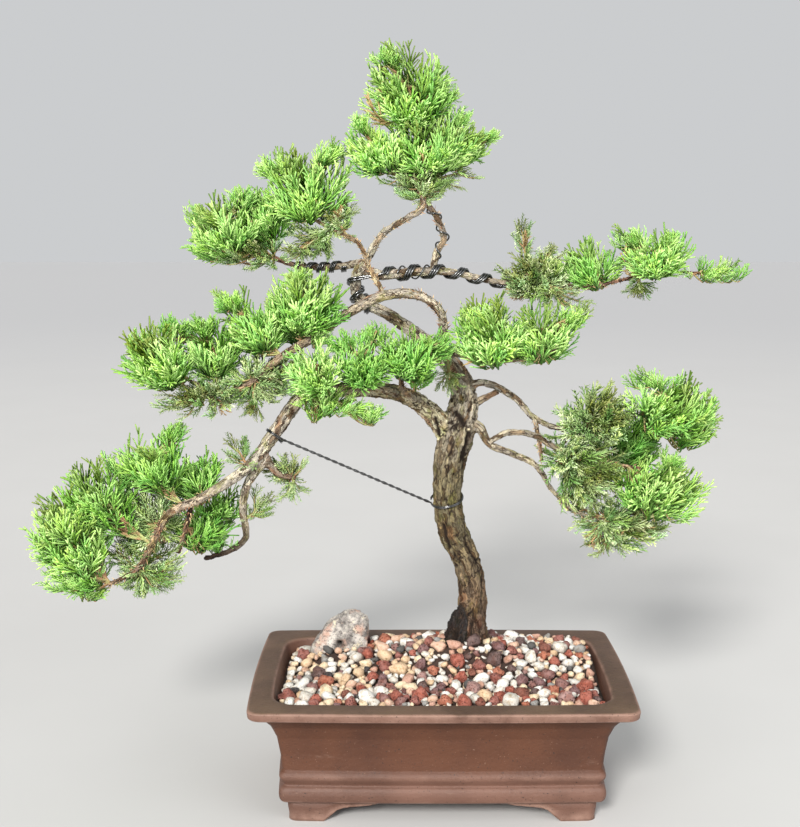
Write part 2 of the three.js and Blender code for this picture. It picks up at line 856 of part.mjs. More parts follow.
// How lumpy a core is in one direction: 1 at its fullest
function coreLump(direction, seed) {
  const round = Math.sin(seed + 5 * direction.x + 3 * direction.y);
  return 0.93 + 0.07 * round * Math.cos(seed * 1.7 + 4 * direction.z);
}

function coreFaces(name, seed, grow = 0) {
  const { middle, reach } = sprayParts(name);
  const big = Math.max(reach.x, reach.y, reach.z) >= BIG_SPRAY;
  const shape = big ? new THREE.IcosahedronGeometry(1, 1) : new THREE.OctahedronGeometry(1, 1);
  const ball = shape.attributes.position;
  const faces = [];
  for (let i = 0; i < ball.count; i += 3) {
    const directions = [i, i + 1, i + 2].map((k) => new THREE.Vector3().fromBufferAttribute(ball, k));
    const corners = directions.map((direction) => {
      const size = reach.clone().multiplyScalar(CORE_SHARE * coreLump(direction, seed)).addScalar(grow);
      return direction.clone().multiply(size).add(middle);
    });
    const normal = directions[0].clone().add(directions[1]).add(directions[2]).normalize();
    faces.push({ corners, normal });
  }
  return faces;
}

// The closed four-faced solid between one face of a core and the tip of its shoot, a little oversize
function shootSolid([a, b, c], tip) {
  const oversize = 1.06;
  const middle = a.clone().add(b).add(c).add(tip).divideScalar(4);
  const [p, q, r, top] = [a, b, c, tip].map((corner) => middle.clone().lerp(corner, oversize));
  return toSolid(geometryFrom([p, r, q, p, q, top, q, r, top, r, p, top]));
}

function meetsAny(solid, obstacles) {
  const box = solid.boundingBox();
  return obstacles.some((other) => boxesMeet(box, other.box) && !solid.intersect(other.solid).isEmpty());
}

// The core's faces, with a three-sided shoot raised from each that has room, out to the full reach
function sprayGeometry(name, seed, obstacles) {
  const { kind, root, middle, reach } = sprayParts(name);
  const random = randomFrom(seed * 977 + 13);
  const others = Object.keys(SPRAYS).filter((other) => other !== name);
  const comb = middle.clone().sub(root).normalize().multiplyScalar(SHOOT_COMB[kind]);
  const corners = [];
  for (const { corners: face, normal } of coreFaces(name, seed)) {
    const [a, b, c] = face;
    const base = a.clone().add(b).add(c).divideScalar(3);
    const length = 0.86 + 0.14 * random();
    const tip = normal.clone().add(comb).normalize().multiply(reach).multiplyScalar(length).add(middle);
    const crosses = [0.4, 0.7, 1].some((share) => {
      const point = base.clone().lerp(tip, share);
      return others.some((other) => insideCore(point, other, 2.5));
    });
    const bare = normal.z < UNDERSIDE || crosses || meetsAny(shootSolid(face, tip), obstacles);
    if (bare) corners.push(a, b, c);
    else corners.push(a, b, tip, b, c, tip, c, a, tip);
  }
  return geometryFrom(corners);
}

function stemGeometry(name, grow = 0) {
  const { root, middle } = sprayParts(name);
  const bend = root.clone().lerp(middle, 0.5);
  bend.z -= STEM_SAG;
  const route = [
    [...root.toArray(), STEM_RADIUS],
    [...bend.toArray(), STEM_RADIUS * 0.8],
    [...middle.toArray(), STEM_RADIUS * 0.6],
  ];
  return limbGeometry({ route, sides: 4, step: root.distanceTo(middle) / 2 }, grow);
}

const withBox = (solid) => ({ solid, box: solid.boundingBox() });

// Every spray, in turn. Its shoots keep clear of all that is fixed, of the sprays already made and of
// every stem, and its core is cut back from the cores and stems made before it.
function makeSprays(fixed) {
  const names = Object.keys(SPRAYS);
  const made = {};
  const standing = fixed.map(withBox);
  const stems = names.map((name) => withBox(toSolid(stemGeometry(name, GAP))));
  const finished = [];
  const cores = [];
  names.forEach((name, seed) => {
    const otherStems = stems.filter((stem, i) => i !== seed);
    const shoots = toSolid(sprayGeometry(name, seed, [...standing, ...finished, ...otherStems]));
    const shape = shoots.add(toSolid(stemGeometry(name)));
    const box = shape.boundingBox();
    const near = [...standing, ...cores].filter((other) => boxesMeet(box, other.box));
    made[name] = largest(near.reduce((rest, other) => rest.subtract(other.solid), shape));
    finished.push(withBox(made[name]));
    const corners = coreFaces(name, seed, GAP).flatMap((face) => face.corners);
    cores.push(withBox(toSolid(geometryFrom(corners)).add(stems[seed].solid)));
  });
  return made;
}

const layout = new THREE.Group();

function place(name, solid, finish) {
  const mesh = new THREE.Mesh(toGeometry(solid), new THREE.MeshStandardMaterial(COLOURS[finish]));
  mesh.name = name;
  layout.add(mesh);
}

const wraps = Object.entries(WRAP_WIRES);
const fatWood = woodSolids(GAP);
const fatWires = [...wraps.map(([, wire]) => makeWrapWire(wire, GAP)), ...makeGuyWire(GAP)];
const inGravel = [...woodSolids(GAP, BURIED), toSolid(rockGeometry(GAP))];
const sprays = makeSprays([...fatWood, ...fatWires]);

place("pot", makePot(), "clay");
place("drain_screen_left", makeScreen(-1), "mesh");
place("drain_screen_right", makeScreen(1), "mesh");
place("gravel", makeGravel(inGravel), "gravel");
place("accent_rock", toSolid(rockGeometry()), "rock");
place("trunk_and_branches", joined(woodSolids(0)), "bark");
wraps.forEach(([name, wire]) => place(name, makeWrapWire(wire), "wire"));
place("guy_wire", joined(makeGuyWire()), "wire");
Object.entries(sprays).forEach(([name, solid]) => place(`spray_${name}`, solid, SPRAYS[name][0]));

const whole = new THREE.Box3().setFromObject(layout);
const middle = whole.getCenter(new THREE.Vector3());
layout.position.set(-middle.x, -middle.y, -whole.min.z);

const bonsai = new THREE.Group();
bonsai.add(layout);
export default bonsai;
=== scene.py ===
# Procumbens nana juniper bonsai with wired limbs, in a brown unglazed pot filled with gravel.
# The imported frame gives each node's place. Sizes here are in millimetres, laid out from the middle
# of the pot's foot plane, with X to the right, Y away from the front and Z up.
import json
import math

import bmesh
import bpy
import numpy as np
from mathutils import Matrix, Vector, noise

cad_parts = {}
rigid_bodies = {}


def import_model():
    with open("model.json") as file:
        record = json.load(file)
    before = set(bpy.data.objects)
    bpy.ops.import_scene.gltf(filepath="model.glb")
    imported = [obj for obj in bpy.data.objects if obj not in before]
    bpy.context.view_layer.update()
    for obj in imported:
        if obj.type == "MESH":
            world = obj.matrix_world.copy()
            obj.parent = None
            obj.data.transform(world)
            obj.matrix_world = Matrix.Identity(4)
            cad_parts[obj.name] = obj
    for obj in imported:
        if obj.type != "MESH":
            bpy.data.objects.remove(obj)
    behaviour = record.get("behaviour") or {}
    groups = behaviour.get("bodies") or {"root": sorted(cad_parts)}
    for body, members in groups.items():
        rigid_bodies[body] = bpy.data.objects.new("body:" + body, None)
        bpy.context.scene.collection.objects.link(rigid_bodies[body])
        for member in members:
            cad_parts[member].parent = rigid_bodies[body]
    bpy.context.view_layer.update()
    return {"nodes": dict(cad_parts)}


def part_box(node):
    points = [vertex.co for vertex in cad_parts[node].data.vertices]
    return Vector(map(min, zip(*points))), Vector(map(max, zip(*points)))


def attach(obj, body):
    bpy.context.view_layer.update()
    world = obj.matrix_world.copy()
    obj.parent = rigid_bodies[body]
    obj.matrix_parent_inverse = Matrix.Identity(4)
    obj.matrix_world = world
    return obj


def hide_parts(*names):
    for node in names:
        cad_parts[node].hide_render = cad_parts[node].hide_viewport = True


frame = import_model()

# Camera
# It stands in front of the pot, 1.2 m off and a little above the foliage's middle, and looks
# slightly down. The layout's own middle is found from the pot, which is alike on all sides.
pot_low, pot_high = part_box("pot")
LAYOUT_MIDDLE = np.array([(pot_low.x + pot_high.x) / 2, (pot_low.y + pot_high.y) / 2, 0.0])
CAMERA_PLACE = (-35.5, -1199.8, 524.9)
CAMERA_LENS = 61.66
CAMERA_DIP = 9.05


def metres(points):
    """Layout millimetres as metres in the frame."""
    return np.asarray(points, float) * 0.001 + LAYOUT_MIDDLE


camera_data = bpy.data.cameras.new("camera")
camera_data.lens = CAMERA_LENS
camera_data.sensor_width = 36.0
camera_data.clip_end = 50.0
camera = bpy.data.objects.new("camera", camera_data)
camera.location = metres(CAMERA_PLACE)
camera.rotation_euler = (math.radians(90 - CAMERA_DIP), 0, 0)
bpy.context.scene.collection.objects.link(camera)
bpy.context.scene.camera = camera

# Pot
# One fired tray with a broad lip, a deep cove, a bead and a band round its foot, and slightly
# bowed sides. It is lofted up the outside, over the lip and down the inside, and its floor is
# pierced by two drainage holes.
POT_LENGTH, POT_DEPTH = 320, 220
OPENING_LENGTH, OPENING_DEPTH, OPENING_CORNER = 280, 172, 20
BOW = 3
FLOOR_TOP = 27
BASE_HEIGHT = 18.5
DRAIN_X, DRAIN_RADIUS, DRAIN_SIDES = 70, 10, 32
EDGE_CUT, WEAR_REACH = 1.1, 1.3
# Height, and how far the outside stands in from the rim
OUTSIDE = [(18.5, 30), (18.5, 26.4), (19.8, 24.8), (22.4, 23.9), (26, 23.5), (29.4, 24), (31.6, 25.2),
           (33.2, 27.4), (34.8, 27), (37, 25.6), (39.4, 24.3), (42, 24), (44.6, 25),
           (46.6, 26.6), (60, 25.4), (76, 22.8), (87, 18.2), (94, 12.6), (97.6, 6.8),
           (98, 2.4), (99, 0.7), (105.2, 0), (106, 1.8)]
# Height, and how far the inside stands in from the opening
INSIDE = [(106, -3), (105.2, -0.6), (103.5, 0.2), (97, 1.4), (84, 9), (66, 13), (32, 13), (27, 18)]
ARC_STEPS = 8
LONG_STEPS, SHORT_STEPS = 44, 30


def outline(half_length, half_depth, corner, bow=BOW):
    """Points round a rectangle with round corners and bowed sides, anticlockwise from the right."""
    arc = np.linspace(0, np.pi / 2, ARC_STEPS + 1)
    points = []
    for quarter, (sx, sy) in enumerate([(1, 1), (-1, 1), (-1, -1), (1, -1)]):
        angle = arc + quarter * np.pi / 2
        x = sx * (half_length - corner) + corner * np.cos(angle)
        y = sy * (half_depth - corner) + corner * np.sin(angle)
        points.append(np.c_[x, y])
        steps, mirror = (SHORT_STEPS, (1, -1)) if quarter % 2 else (LONG_STEPS, (-1, 1))
        first = points[-1][-1]
        last = first * mirror
        points.append(first + (last - first) * (np.arange(1, steps) / steps)[:, None])
    ring = np.vstack(points)
    along, deep = ring[:, 0] / half_length, ring[:, 1] / half_depth
    ring[:, 0] += bow * along * (1 - deep**2)
    ring[:, 1] += bow * deep * (1 - along**2)
    return ring


def pot_station(z, inset, inside):
    """Half length, half depth, corner radius and height of one ring of the pot."""
    if inside:
        half = OPENING_LENGTH / 2 - inset, OPENING_DEPTH / 2 - inset
        return np.array([*half, OPENING_CORNER, z], float)
    return np.array([POT_LENGTH / 2 - inset, POT_DEPTH / 2 - inset, max(9.5 - inset / 5, 4.5), z], float)


def rounded(stations, cut, steps=4):
    """The row of stations with each corner in it rounded off."""
    row = [stations[0]]
    for before, here, after in zip(stations, stations[1:], stations[2:]):
        ends = []
        for other in (before, after):
            share = min(cut / np.linalg.norm(other - here), 0.45)
            ends.append(here + (other - here) * share)
        for t in np.linspace(0, 1, steps):
            row.append((1 - t) ** 2 * ends[0] + 2 * t * (1 - t) * here + t * t * ends[1])
    return row + [stations[-1]]


def loft_faces(rings, sides, closed=False):
    """Quads of a skin through rings of equal numbers of points, facing out for rings that rise."""
    faces = []
    for i in range(rings if closed else rings - 1):
        low, high = i * sides, (i + 1) % rings * sides
        for j in range(sides):
            k = (j + 1) % sides
            faces.append((low + j, low + k, high + k, high + j))
    return faces


def new_piece(name, points, faces, materials=(), attributes=None, edges=()):
    """A smooth mesh from layout millimetres, with attributes by name: one number or colour a point."""
    mesh = bpy.data.meshes.new(name)
    mesh.from_pydata(metres(points).tolist(), list(edges), faces)
    mesh.shade_smooth()
    for label, values in (attributes or {}).items():
        values = np.asarray(values, np.float32)
        kind, field = ("FLOAT", "value") if values.ndim == 1 else ("FLOAT_VECTOR", "vector")
        mesh.attributes.new(label, kind, "POINT").data.foreach_set(field, values.ravel())
    for material in materials:
        mesh.materials.append(material)
    made = bpy.data.objects.new(name, mesh)
    bpy.context.scene.collection.objects.link(made)
    return made


def srgb(red, green, blue):
    """A colour as read off a screen, 0 to 255, in the linear values that shaders take."""
    linear = []
    for channel in (red, green, blue):
        linear.append(((channel / 255 + 0.055) / 1.055) ** 2.4 if channel > 10 else channel / 255 / 12.92)
    return linear + [1.0]


def node(tree, kind, inputs=None, **settings):
    """A node of a tree, with its inputs linked to sockets or set to values."""
    made = tree.nodes.new(kind)
    for name, value in settings.items():
        setattr(made, name, value)
    for key, value in (inputs or {}).items():
        if isinstance(value, bpy.types.NodeSocket):
            tree.links.new(value, made.inputs[key])
        else:
            made.inputs[key].default_value = value
    return made


def new_material(name, **sockets):
    """A material with one main shader, its even values set on the shader's own sockets."""
    material = bpy.data.materials.new(name)
    material.use_nodes = True
    shader = material.node_tree.nodes["Principled BSDF"]
    for key, value in sockets.items():
        shader.inputs[key.replace("_", " ")].default_value = value
    return material, material.node_tree, shader


def blend(tree, share, first, second, mode="MIX"):
    """One colour laid over another by a share."""
    made = node(tree, "ShaderNodeMix", data_type="RGBA", blend_type=mode)
    for index, value in ((0, share), (6, first), (7, second)):
        if isinstance(value, bpy.types.NodeSocket):
            tree.links.new(value, made.inputs[index])
        else:
            made.inputs[index].default_value = value
    return made.outputs[2]


def grain(tree, place, scale, detail=3.0, roughness=0.55, stretch=(1, 1, 1)):
    """Fractal noise over a place, drawn out along its axes."""
    drawn = node(tree, "ShaderNodeVectorMath", {0: place, 1: stretch}, operation="MULTIPLY")
    inputs = {"Vector": drawn.outputs[0], "Scale": scale, "Detail": detail, "Roughness": roughness}
    return node(tree, "ShaderNodeTexNoise", inputs).outputs["Fac"]


def between(tree, value, low, high):
    """0 below low, 1 above high and smooth in between."""
    inputs = {"Value": value, "From Min": low, "From Max": high}
    return node(tree, "ShaderNodeMapRange", inputs, interpolation_type="SMOOTHSTEP").outputs[0]


def read(tree, name):
    """A number stored on the mesh."""
    return node(tree, "ShaderNodeAttribute", attribute_name=name)


def bump(tree, shader, height, strength, depth):
    """Raises a shader's surface by a height, over a depth in metres."""
    inputs = {"Height": height, "Strength": strength, "Distance": depth}
    tree.links.new(node(tree, "ShaderNodeBump", inputs).outputs[0], shader.inputs["Normal"])


def finish_clay():
    """Brown fired clay: mauve where edges are worn, pale scuffs, fine dark and light specks."""
    material, tree, shader = new_material("unglazed_clay", Specular_IOR_Level=0.42)
    place = node(tree, "ShaderNodeTexCoord").outputs["Object"]
    wear = read(tree, "wear").outputs["Fac"]
    cloud = grain(tree, place, 14, 4)
    body = blend(tree, between(tree, cloud, 0.32, 0.68), srgb(67, 37, 22), srgb(84, 49, 30))
    high = node(tree, "ShaderNodeSeparateXYZ", {0: place}).outputs[2]
    # Paler and more mauve below 41–47 mm, and on the lip's outer face from 94–99 mm up
    paler_band = blend(tree, between(tree, cloud, 0.35, 0.7), srgb(86, 58, 46), srgb(105, 74, 61))
    body = blend(tree, between(tree, high, 0.047, 0.041), body, paler_band)
    body = blend(tree, between(tree, high, 0.094, 0.099), body, paler_band)
    top = blend(tree, between(tree, cloud, 0.35, 0.7), srgb(74, 54, 40), srgb(98, 76, 58))
    body = blend(tree, between(tree, high, 0.1042, 0.1054), body, top)
    rubbed = node(tree, "ShaderNodeMath", {0: wear, 1: grain(tree, place, 60, 3)}, operation="MULTIPLY")
    body = blend(tree, between(tree, rubbed.outputs[0], 0.1, 0.62), body, srgb(134, 104, 90))
    scuff = between(tree, grain(tree, place, 22, 6, 0.7, (0.5, 0.5, 1.4)), 0.6, 0.8)
    body = blend(tree, scuff, body, srgb(124, 98, 84))
    speck = grain(tree, place, 620, 2)
    body = blend(tree, between(tree, speck, 0.68, 0.76), body, srgb(122, 94, 78))
    body = blend(tree, between(tree, speck, 0.35, 0.27), body, srgb(44, 29, 23))
    tree.links.new(body, shader.inputs["Base Color"])
    inputs = {"Value": grain(tree, place, 30, 4), "To Min": 0.5, "To Max": 0.72}
    tree.links.new(node(tree, "ShaderNodeMapRange", inputs).outputs[0], shader.inputs["Roughness"])
    bump(tree, shader, grain(tree, place, 330, 4, 0.6), 0.7, 0.0008)
    return material


clay = finish_clay()
stations = [pot_station(z, inset, False) for z, inset in OUTSIDE]
stations += [pot_station(z, inset, True) for z, inset in INSIDE]
stations = rounded(stations, EDGE_CUT)
rings = []
for half_length, half_depth, corner, z in stations:
    ring = outline(half_length, half_depth, corner)
    rings.append(np.c_[ring, np.full(len(ring), z)])
around = len(rings[0])

# Where the pot's section turns outwards, its edge is worn
section = np.array([[s[0], s[3]] for s in stations])
run = np.diff(section, axis=0)
run /= np.maximum(np.linalg.norm(run, axis=1), 1e-6)[:, None]
turn = np.zeros(len(stations))
turn[1:-1] = np.maximum(run[:-1, 0] * run[1:, 1] - run[:-1, 1] * run[1:, 0], 0)
gap = np.linalg.norm(section[:, None] - section[None], axis=2)
wear = np.clip((turn[None] * np.exp(-((gap / WEAR_REACH) ** 2))).sum(1), 0, 1)

mesh = bmesh.new()
wear_layer = mesh.verts.layers.float.new("wear")
verts = [mesh.verts.new(p) for p in metres(np.vstack(rings))]
for vert, value in zip(verts, np.repeat(wear, around)):
    vert[wear_layer] = value
for face in loft_faces(len(rings), around):
    mesh.faces.new([verts[i] for i in face])


def pierced(loop, height):
    """Fills one level of the pot inside its outer loop, but for the drain holes it returns."""
    fill = [mesh.edges.get((vert, after)) for vert, after in zip(loop, loop[1:] + loop[:1])]
    angle = np.arange(DRAIN_SIDES) * 2 * np.pi / DRAIN_SIDES
    holes = []
    for side in (-1, 1):
        x = side * DRAIN_X + DRAIN_RADIUS * np.cos(angle)
        spots = np.c_[x, DRAIN_RADIUS * np.sin(angle), np.full(DRAIN_SIDES, height)]
        holes.append([mesh.verts.new(p) for p in metres(spots)])
    for hole in holes:
        fill += [mesh.edges.new((vert, after)) for vert, after in zip(hole, hole[1:] + hole[:1])]
    bmesh.ops.triangle_fill(mesh, edges=fill, use_beauty=True)
    return holes


for low, high in zip(pierced(verts[:around], BASE_HEIGHT), pierced(verts[-around:], FLOOR_TOP)):
    for j in range(DRAIN_SIDES):
        k = (j + 1) % DRAIN_SIDES
        mesh.faces.new([low[j], low[k], high[k], high[j]])
bmesh.ops.recalc_face_normals(mesh, faces=mesh.faces)

# Feet: four brackets in one ring under the base, whose lower edge sweeps up between them
FOOT_TOP, FOOT_CORNER, SIDE_BAND = 20.5, 7, 4
# Each ring's inset, its share of the way up from the lower edge, and how worn it is
FOOT_RINGS = [(31.4, 0, 0.9), (31.8, 0.12, 0.8), (30.6, 0.55, 0.25), (30, 1, 0), (43, 1, 0),
              (43, 0.12, 0), (41.5, 0, 0)]
# Distance from the middle of a side, and height of the lower edge there
LONG_SWEEP = [(0, 18.9), (52, 18.9), (54, 16.2), (60, 14.6), (80, 12.6), (86, 11.4), (92, 8), (97, 0)]
SHORT_SWEEP = [(0, 18.9), (30, 18.9), (32, 16.2), (37, 14.6), (46, 12.6), (50, 11.2), (54, 8), (58, 0)]


def sweep(distance, line):
    """Height of the lower edge at a distance from the middle of a side."""
    xs, ys = zip(*line)
    return np.interp(np.abs(distance), xs, ys)


foot_points = []
for inset, rise, _ in FOOT_RINGS:
    ring = outline(POT_LENGTH / 2 - inset, POT_DEPTH / 2 - inset, FOOT_CORNER)
    long_side = np.abs(ring[:, 1]) > POT_DEPTH / 2 - inset - SIDE_BAND
    short_side = np.abs(ring[:, 0]) > POT_LENGTH / 2 - inset - SIDE_BAND
    lower = np.where(long_side & ~short_side, sweep(ring[:, 0], LONG_SWEEP), 0)
    lower = np.where(short_side & ~long_side, sweep(ring[:, 1], SHORT_SWEEP), lower)
    foot_points.append(np.c_[ring, lower + (FOOT_TOP - lower) * rise])
foot_verts = [mesh.verts.new(p) for p in metres(np.vstack(foot_points))]
for i, vert in enumerate(foot_verts):
    vert[wear_layer] = FOOT_RINGS[i // around][2]
foot_faces = loft_faces(len(FOOT_RINGS), around, True)
feet = [mesh.faces.new([foot_verts[i] for i in face]) for face in foot_faces]
bmesh.ops.recalc_face_normals(mesh, faces=feet)
pot_mesh = bpy.data.meshes.new("pot_body")
mesh.to_mesh(pot_mesh)
mesh.free()
pot_mesh.shade_smooth()
pot_mesh.materials.append(clay)
pot = bpy.data.objects.new("pot_body", pot_mesh)
bpy.context.scene.collection.objects.link(pot)
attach(pot, "root")
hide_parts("pot")

# Drain screens
# Two squares of moulded plastic net that lie on the pot's floor over its holes, as packed. Only
# their finish is added.
screen_plastic, tree, shader = new_material("screen_plastic", Roughness=0.55)
place = node(tree, "ShaderNodeTexCoord").outputs["Object"]
dust = between(tree, grain(tree, place, 240, 4), 0.4, 0.75)
tree.links.new(blend(tree, dust, srgb(28, 29, 28), srgb(74, 66, 58)), shader.inputs["Base Color"])
bump(tree, shader, grain(tree, place, 900, 2), 0.2, 0.0003)
for side in ("left", "right"):
    screen = frame["nodes"]["drain_screen_" + side]
    screen.data.materials.clear()
    screen.data.materials.append(screen_plastic)

# Gravel
# White pumice, cream and peach grit and porous red lava, poured to the rim and heaped round the
# trunk. A dark bed fills the pot, and the stones are seated one by one on it, largest first.
GRAVEL_EDGE, MOUND_RISE, FRONT_RISE, BACK_RISE, ROCK_RISE, FOOT_RISE = 97, 15, 7, 12, 15, 13
ROCK_X, ROCK_Y, ROCK_Z = -90, 60, 113
# Heaps of the gravel: middle and spread, each along X and Y
MOUND, BY_ROCK, BY_FOOT = (25, 30, 75, 60), (ROCK_X, ROCK_Y - 12, 32, 26), (24, 22, 36, 30)
# The bed: inset from the opening and height, and then shares of its edge inwards
BED_WALL = [(18, 29.8), (13.8, 34), (13.8, 66), (9.8, 84)]
BED_EDGE, BED_DROP, BED_SHARES = 3.8, 5, np.linspace(1, 0.02, 26)
STONE_EDGE, STONE_DROP = 2.6, 2.2


def smoothstep(value, low, high):
    """0 below low, 1 above high and smooth in between."""
    t = np.clip((value - low) / (high - low), 0, 1)
    return t * t * (3 - 2 * t)


def heaped(x, y, middle_x, middle_y, spread_x, spread_y):
    """1 at the middle of a heap, less away from it."""
    return np.exp(-(((x - middle_x) / spread_x) ** 2) - ((y - middle_y) / spread_y) ** 2)


def gravel_level(x, y):
    """Height of the gravel: low along the sides, up to the rim in front, heaped in the middle."""
    front = smoothstep(-y, 10, 84) * (1 - 0.4 * (x / 140) ** 2)
    back = smoothstep(y, -20, 50) * (1 - smoothstep(-x, 50, 110))
    heap = MOUND_RISE * heaped(x, y, *MOUND) * (1 - 0.5 * back) + FOOT_RISE * heaped(x, y, *BY_FOOT)
    by_rock = ROCK_RISE * heaped(x, y, *BY_ROCK) * (1 - back)
    return GRAVEL_EDGE + heap + BACK_RISE * back + by_rock + FRONT_RISE * front


def room_inside(x, y):
    """How far a point stands in from the pot's inner wall at the gravel's level."""
    half = np.array([OPENING_LENGTH / 2 - STONE_EDGE, OPENING_DEPTH / 2 - STONE_EDGE])
    beyond = np.abs(np.stack([x, y], -1)) - (half - OPENING_CORNER)
    outer = np.linalg.norm(np.maximum(beyond, 0), axis=-1)
    return OPENING_CORNER - outer - np.minimum(beyond.max(-1), 0)


def finish_bed():
    """Damp dark fines that show only in the gaps between stones."""
    material, tree, shader = new_material("gravel_bed", Roughness=0.9)
    place = node(tree, "ShaderNodeTexCoord").outputs["Object"]
    fines = grain(tree, place, 400, 4)
    tree.links.new(blend(tree, fines, srgb(30, 22, 19), srgb(78, 56, 46)), shader.inputs["Base Color"])
    bump(tree, shader, fines, 0.8, 0.002)
    return material


bed_rings = []
for inset, z in BED_WALL:
    ring = outline(OPENING_LENGTH / 2 - inset, OPENING_DEPTH / 2 - inset, OPENING_CORNER)
    bed_rings.append(np.c_[ring, np.full(len(ring), z)])
edge = outline(OPENING_LENGTH / 2 - BED_EDGE, OPENING_DEPTH / 2 - BED_EDGE, OPENING_CORNER)
for share in BED_SHARES:
    ring = edge * share
    bed_rings.append(np.c_[ring, gravel_level(ring[:, 0], ring[:, 1]) - BED_DROP])
bed_points = np.vstack(bed_rings)
bed_faces = loft_faces(len(bed_rings), around)
bed_faces.append(tuple(range(around - 1, -1, -1)))
bed_faces.append(tuple(len(bed_points) - around + j for j in range(around)))
bed = new_piece("gravel_bed", bed_points, bed_faces, [finish_bed()])
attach(bed, "root")
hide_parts("gravel")


def seat_stones(seed, sizes, tries, keep_off, taken=()):
    """Places and radii of stones that don't overlap, drawn from ranges of radius, largest first."""
    random = np.random.default_rng(seed)
    spots = [list(spot) for spot in taken]
    for low, high, share in sizes:
        for _ in range(int(tries * share)):
            radius = random.uniform(low, high)
            x = random.uniform(-OPENING_LENGTH / 2, OPENING_LENGTH / 2)
            y = random.uniform(-OPENING_DEPTH / 2, OPENING_DEPTH / 2)
            if room_inside(np.array(x), np.array(y)) < radius * 0.95:
                continue
            if any((x - cx) ** 2 + (y - cy) ** 2 < (size + 0.6 * radius) ** 2 for cx, cy, size in keep_off):
                continue
            if spots:
                near = np.array(spots)
                reach = 0.93 * (near[:, 2] + radius)
                if (((near[:, 0] - x) ** 2 + (near[:, 1] - y) ** 2) < reach**2).any():
                    continue
            spots.append([x, y, radius])
    return np.array(spots[len(taken):])


def keep_shape(shapes, mesh, smooth=True):
    """Adds a finished mesh to the shapes that a tree places, which stay out of the scene."""
    name = f"{shapes.name}_{len(shapes.objects)}"
    data = bpy.data.meshes.new(name)
    mesh.to_mesh(data)
    mesh.free()
    if smooth:
        data.shade_smooth()
    shapes.objects.link(bpy.data.objects.new(name, data))


def chip_shapes(name, count, corners, long, seed):
    """A few differing chips of radius 1: closed hulls round some corners."""
    random = np.random.default_rng(seed)
    shapes = bpy.data.collections.new(name)
    for _ in range(count):
        points = random.normal(size=(corners, 3))
        points /= np.linalg.norm(points, axis=1)[:, None]
        points = np.sign(points) * np.abs(points) ** 0.8
        points *= (random.uniform(1, long), random.uniform(0.8, 1), random.uniform(0.62, 0.85))
        mesh = bmesh.new()
        for point in points:
            mesh.verts.new(point)
        bmesh.ops.convex_hull(mesh, input=mesh.verts)
        loose = [vert for vert in mesh.verts if not vert.link_faces]
        bmesh.ops.delete(mesh, geom=loose, context="VERTS")
        bmesh.ops.recalc_face_normals(mesh, faces=mesh.faces)
        keep_shape(shapes, mesh)
    return shapes


def cinder_shapes(name, count, knobs, seed):
    """A few differing knobbly cinders of radius 1."""
    random = np.random.default_rng(seed)
    shapes = bpy.data.collections.new(name)
    for _ in range(count):
        ball = bmesh.new()
        bmesh.ops.create_icosphere(ball, subdivisions=2, radius=1)
        shift = Vector(random.uniform(0, 50, 3))
        for vert in ball.verts:
            swell = noise.noise(vert.co * 1.1 + shift) * 0.5 + noise.noise(vert.co * 2.6 + shift) * knobs
            vert.co = vert.co * (1 + swell)
            vert.co.z *= random.uniform(0.78, 0.8)
        keep_shape(shapes, ball)
    return shapes


def new_tree(name, sockets):
    """A modifier's node tree with one geometry in and out, and named inputs."""
    tree = bpy.data.node_groups.new(name, "GeometryNodeTree")
    tree.is_modifier = True
    tree.interface.new_socket("Geometry", in_out="OUTPUT", socket_type="NodeSocketGeometry")
    tree.interface.new_socket("Geometry", in_out="INPUT", socket_type="NodeSocketGeometry")
    for label, kind in sockets.items():
        tree.interface.new_socket(label, in_out="INPUT", socket_type="NodeSocket" + kind)
    return tree, tree.nodes.new("NodeGroupInput").outputs, tree.nodes.new("NodeGroupOutput").inputs


def grown(source, tree, values, name):
    """The plain mesh that a tree makes of a source object, which is then removed."""
    modifier = source.modifiers.new("grow", "NODES")
    modifier.node_group = tree
    for item in tree.interface.items_tree:
        if item.in_out == "INPUT" and item.name in values:
            modifier[item.identifier] = values[item.name]
    bpy.context.view_layer.update()
    evaluated = source.evaluated_get(bpy.context.evaluated_depsgraph_get())
    mesh = bpy.data.meshes.new_from_object(evaluated, preserve_all_data_layers=True,
                                           depsgraph=bpy.context.evaluated_depsgraph_get())
    mesh.name = name
    made = bpy.data.objects.new(name, mesh)
    bpy.context.scene.collection.objects.link(made)
    source.modifiers.clear()
    bpy.data.objects.remove(source)
    return made


def number(tree, name, kind="FLOAT"):
    """A value stored on the geometry, by name."""
    made = node(tree, "GeometryNodeInputNamedAttribute", {"Name": name}, data_type=kind)
    return made.outputs["Attribute"]


def placed_shapes(tree, shapes, seed, points, rotation, scale):
    """One of the shapes, picked at random, set at each point."""
    each = {"Collection": shapes, "Separate Children": True, "Reset Children": True}
    pick = node(tree, "FunctionNodeRandomValue", {4: 0, 5: 99, "Seed": seed}, data_type="INT")
    return node(tree, "GeometryNodeInstanceOnPoints", {
        "Points": points, "Instance": node(tree, "GeometryNodeCollectionInfo", each).outputs[0],
        "Pick Instance": True, "Instance Index": pick.outputs[2], "Rotation": rotation, "Scale": scale})


def realized(tree, geometry, material):
    """Plain geometry with its material."""
    real = node(tree, "GeometryNodeRealizeInstances", {"Geometry": geometry})
    given = {"Geometry": real.outputs[0], "Material": material}
    return node(tree, "GeometryNodeSetMaterial", given).outputs[0]


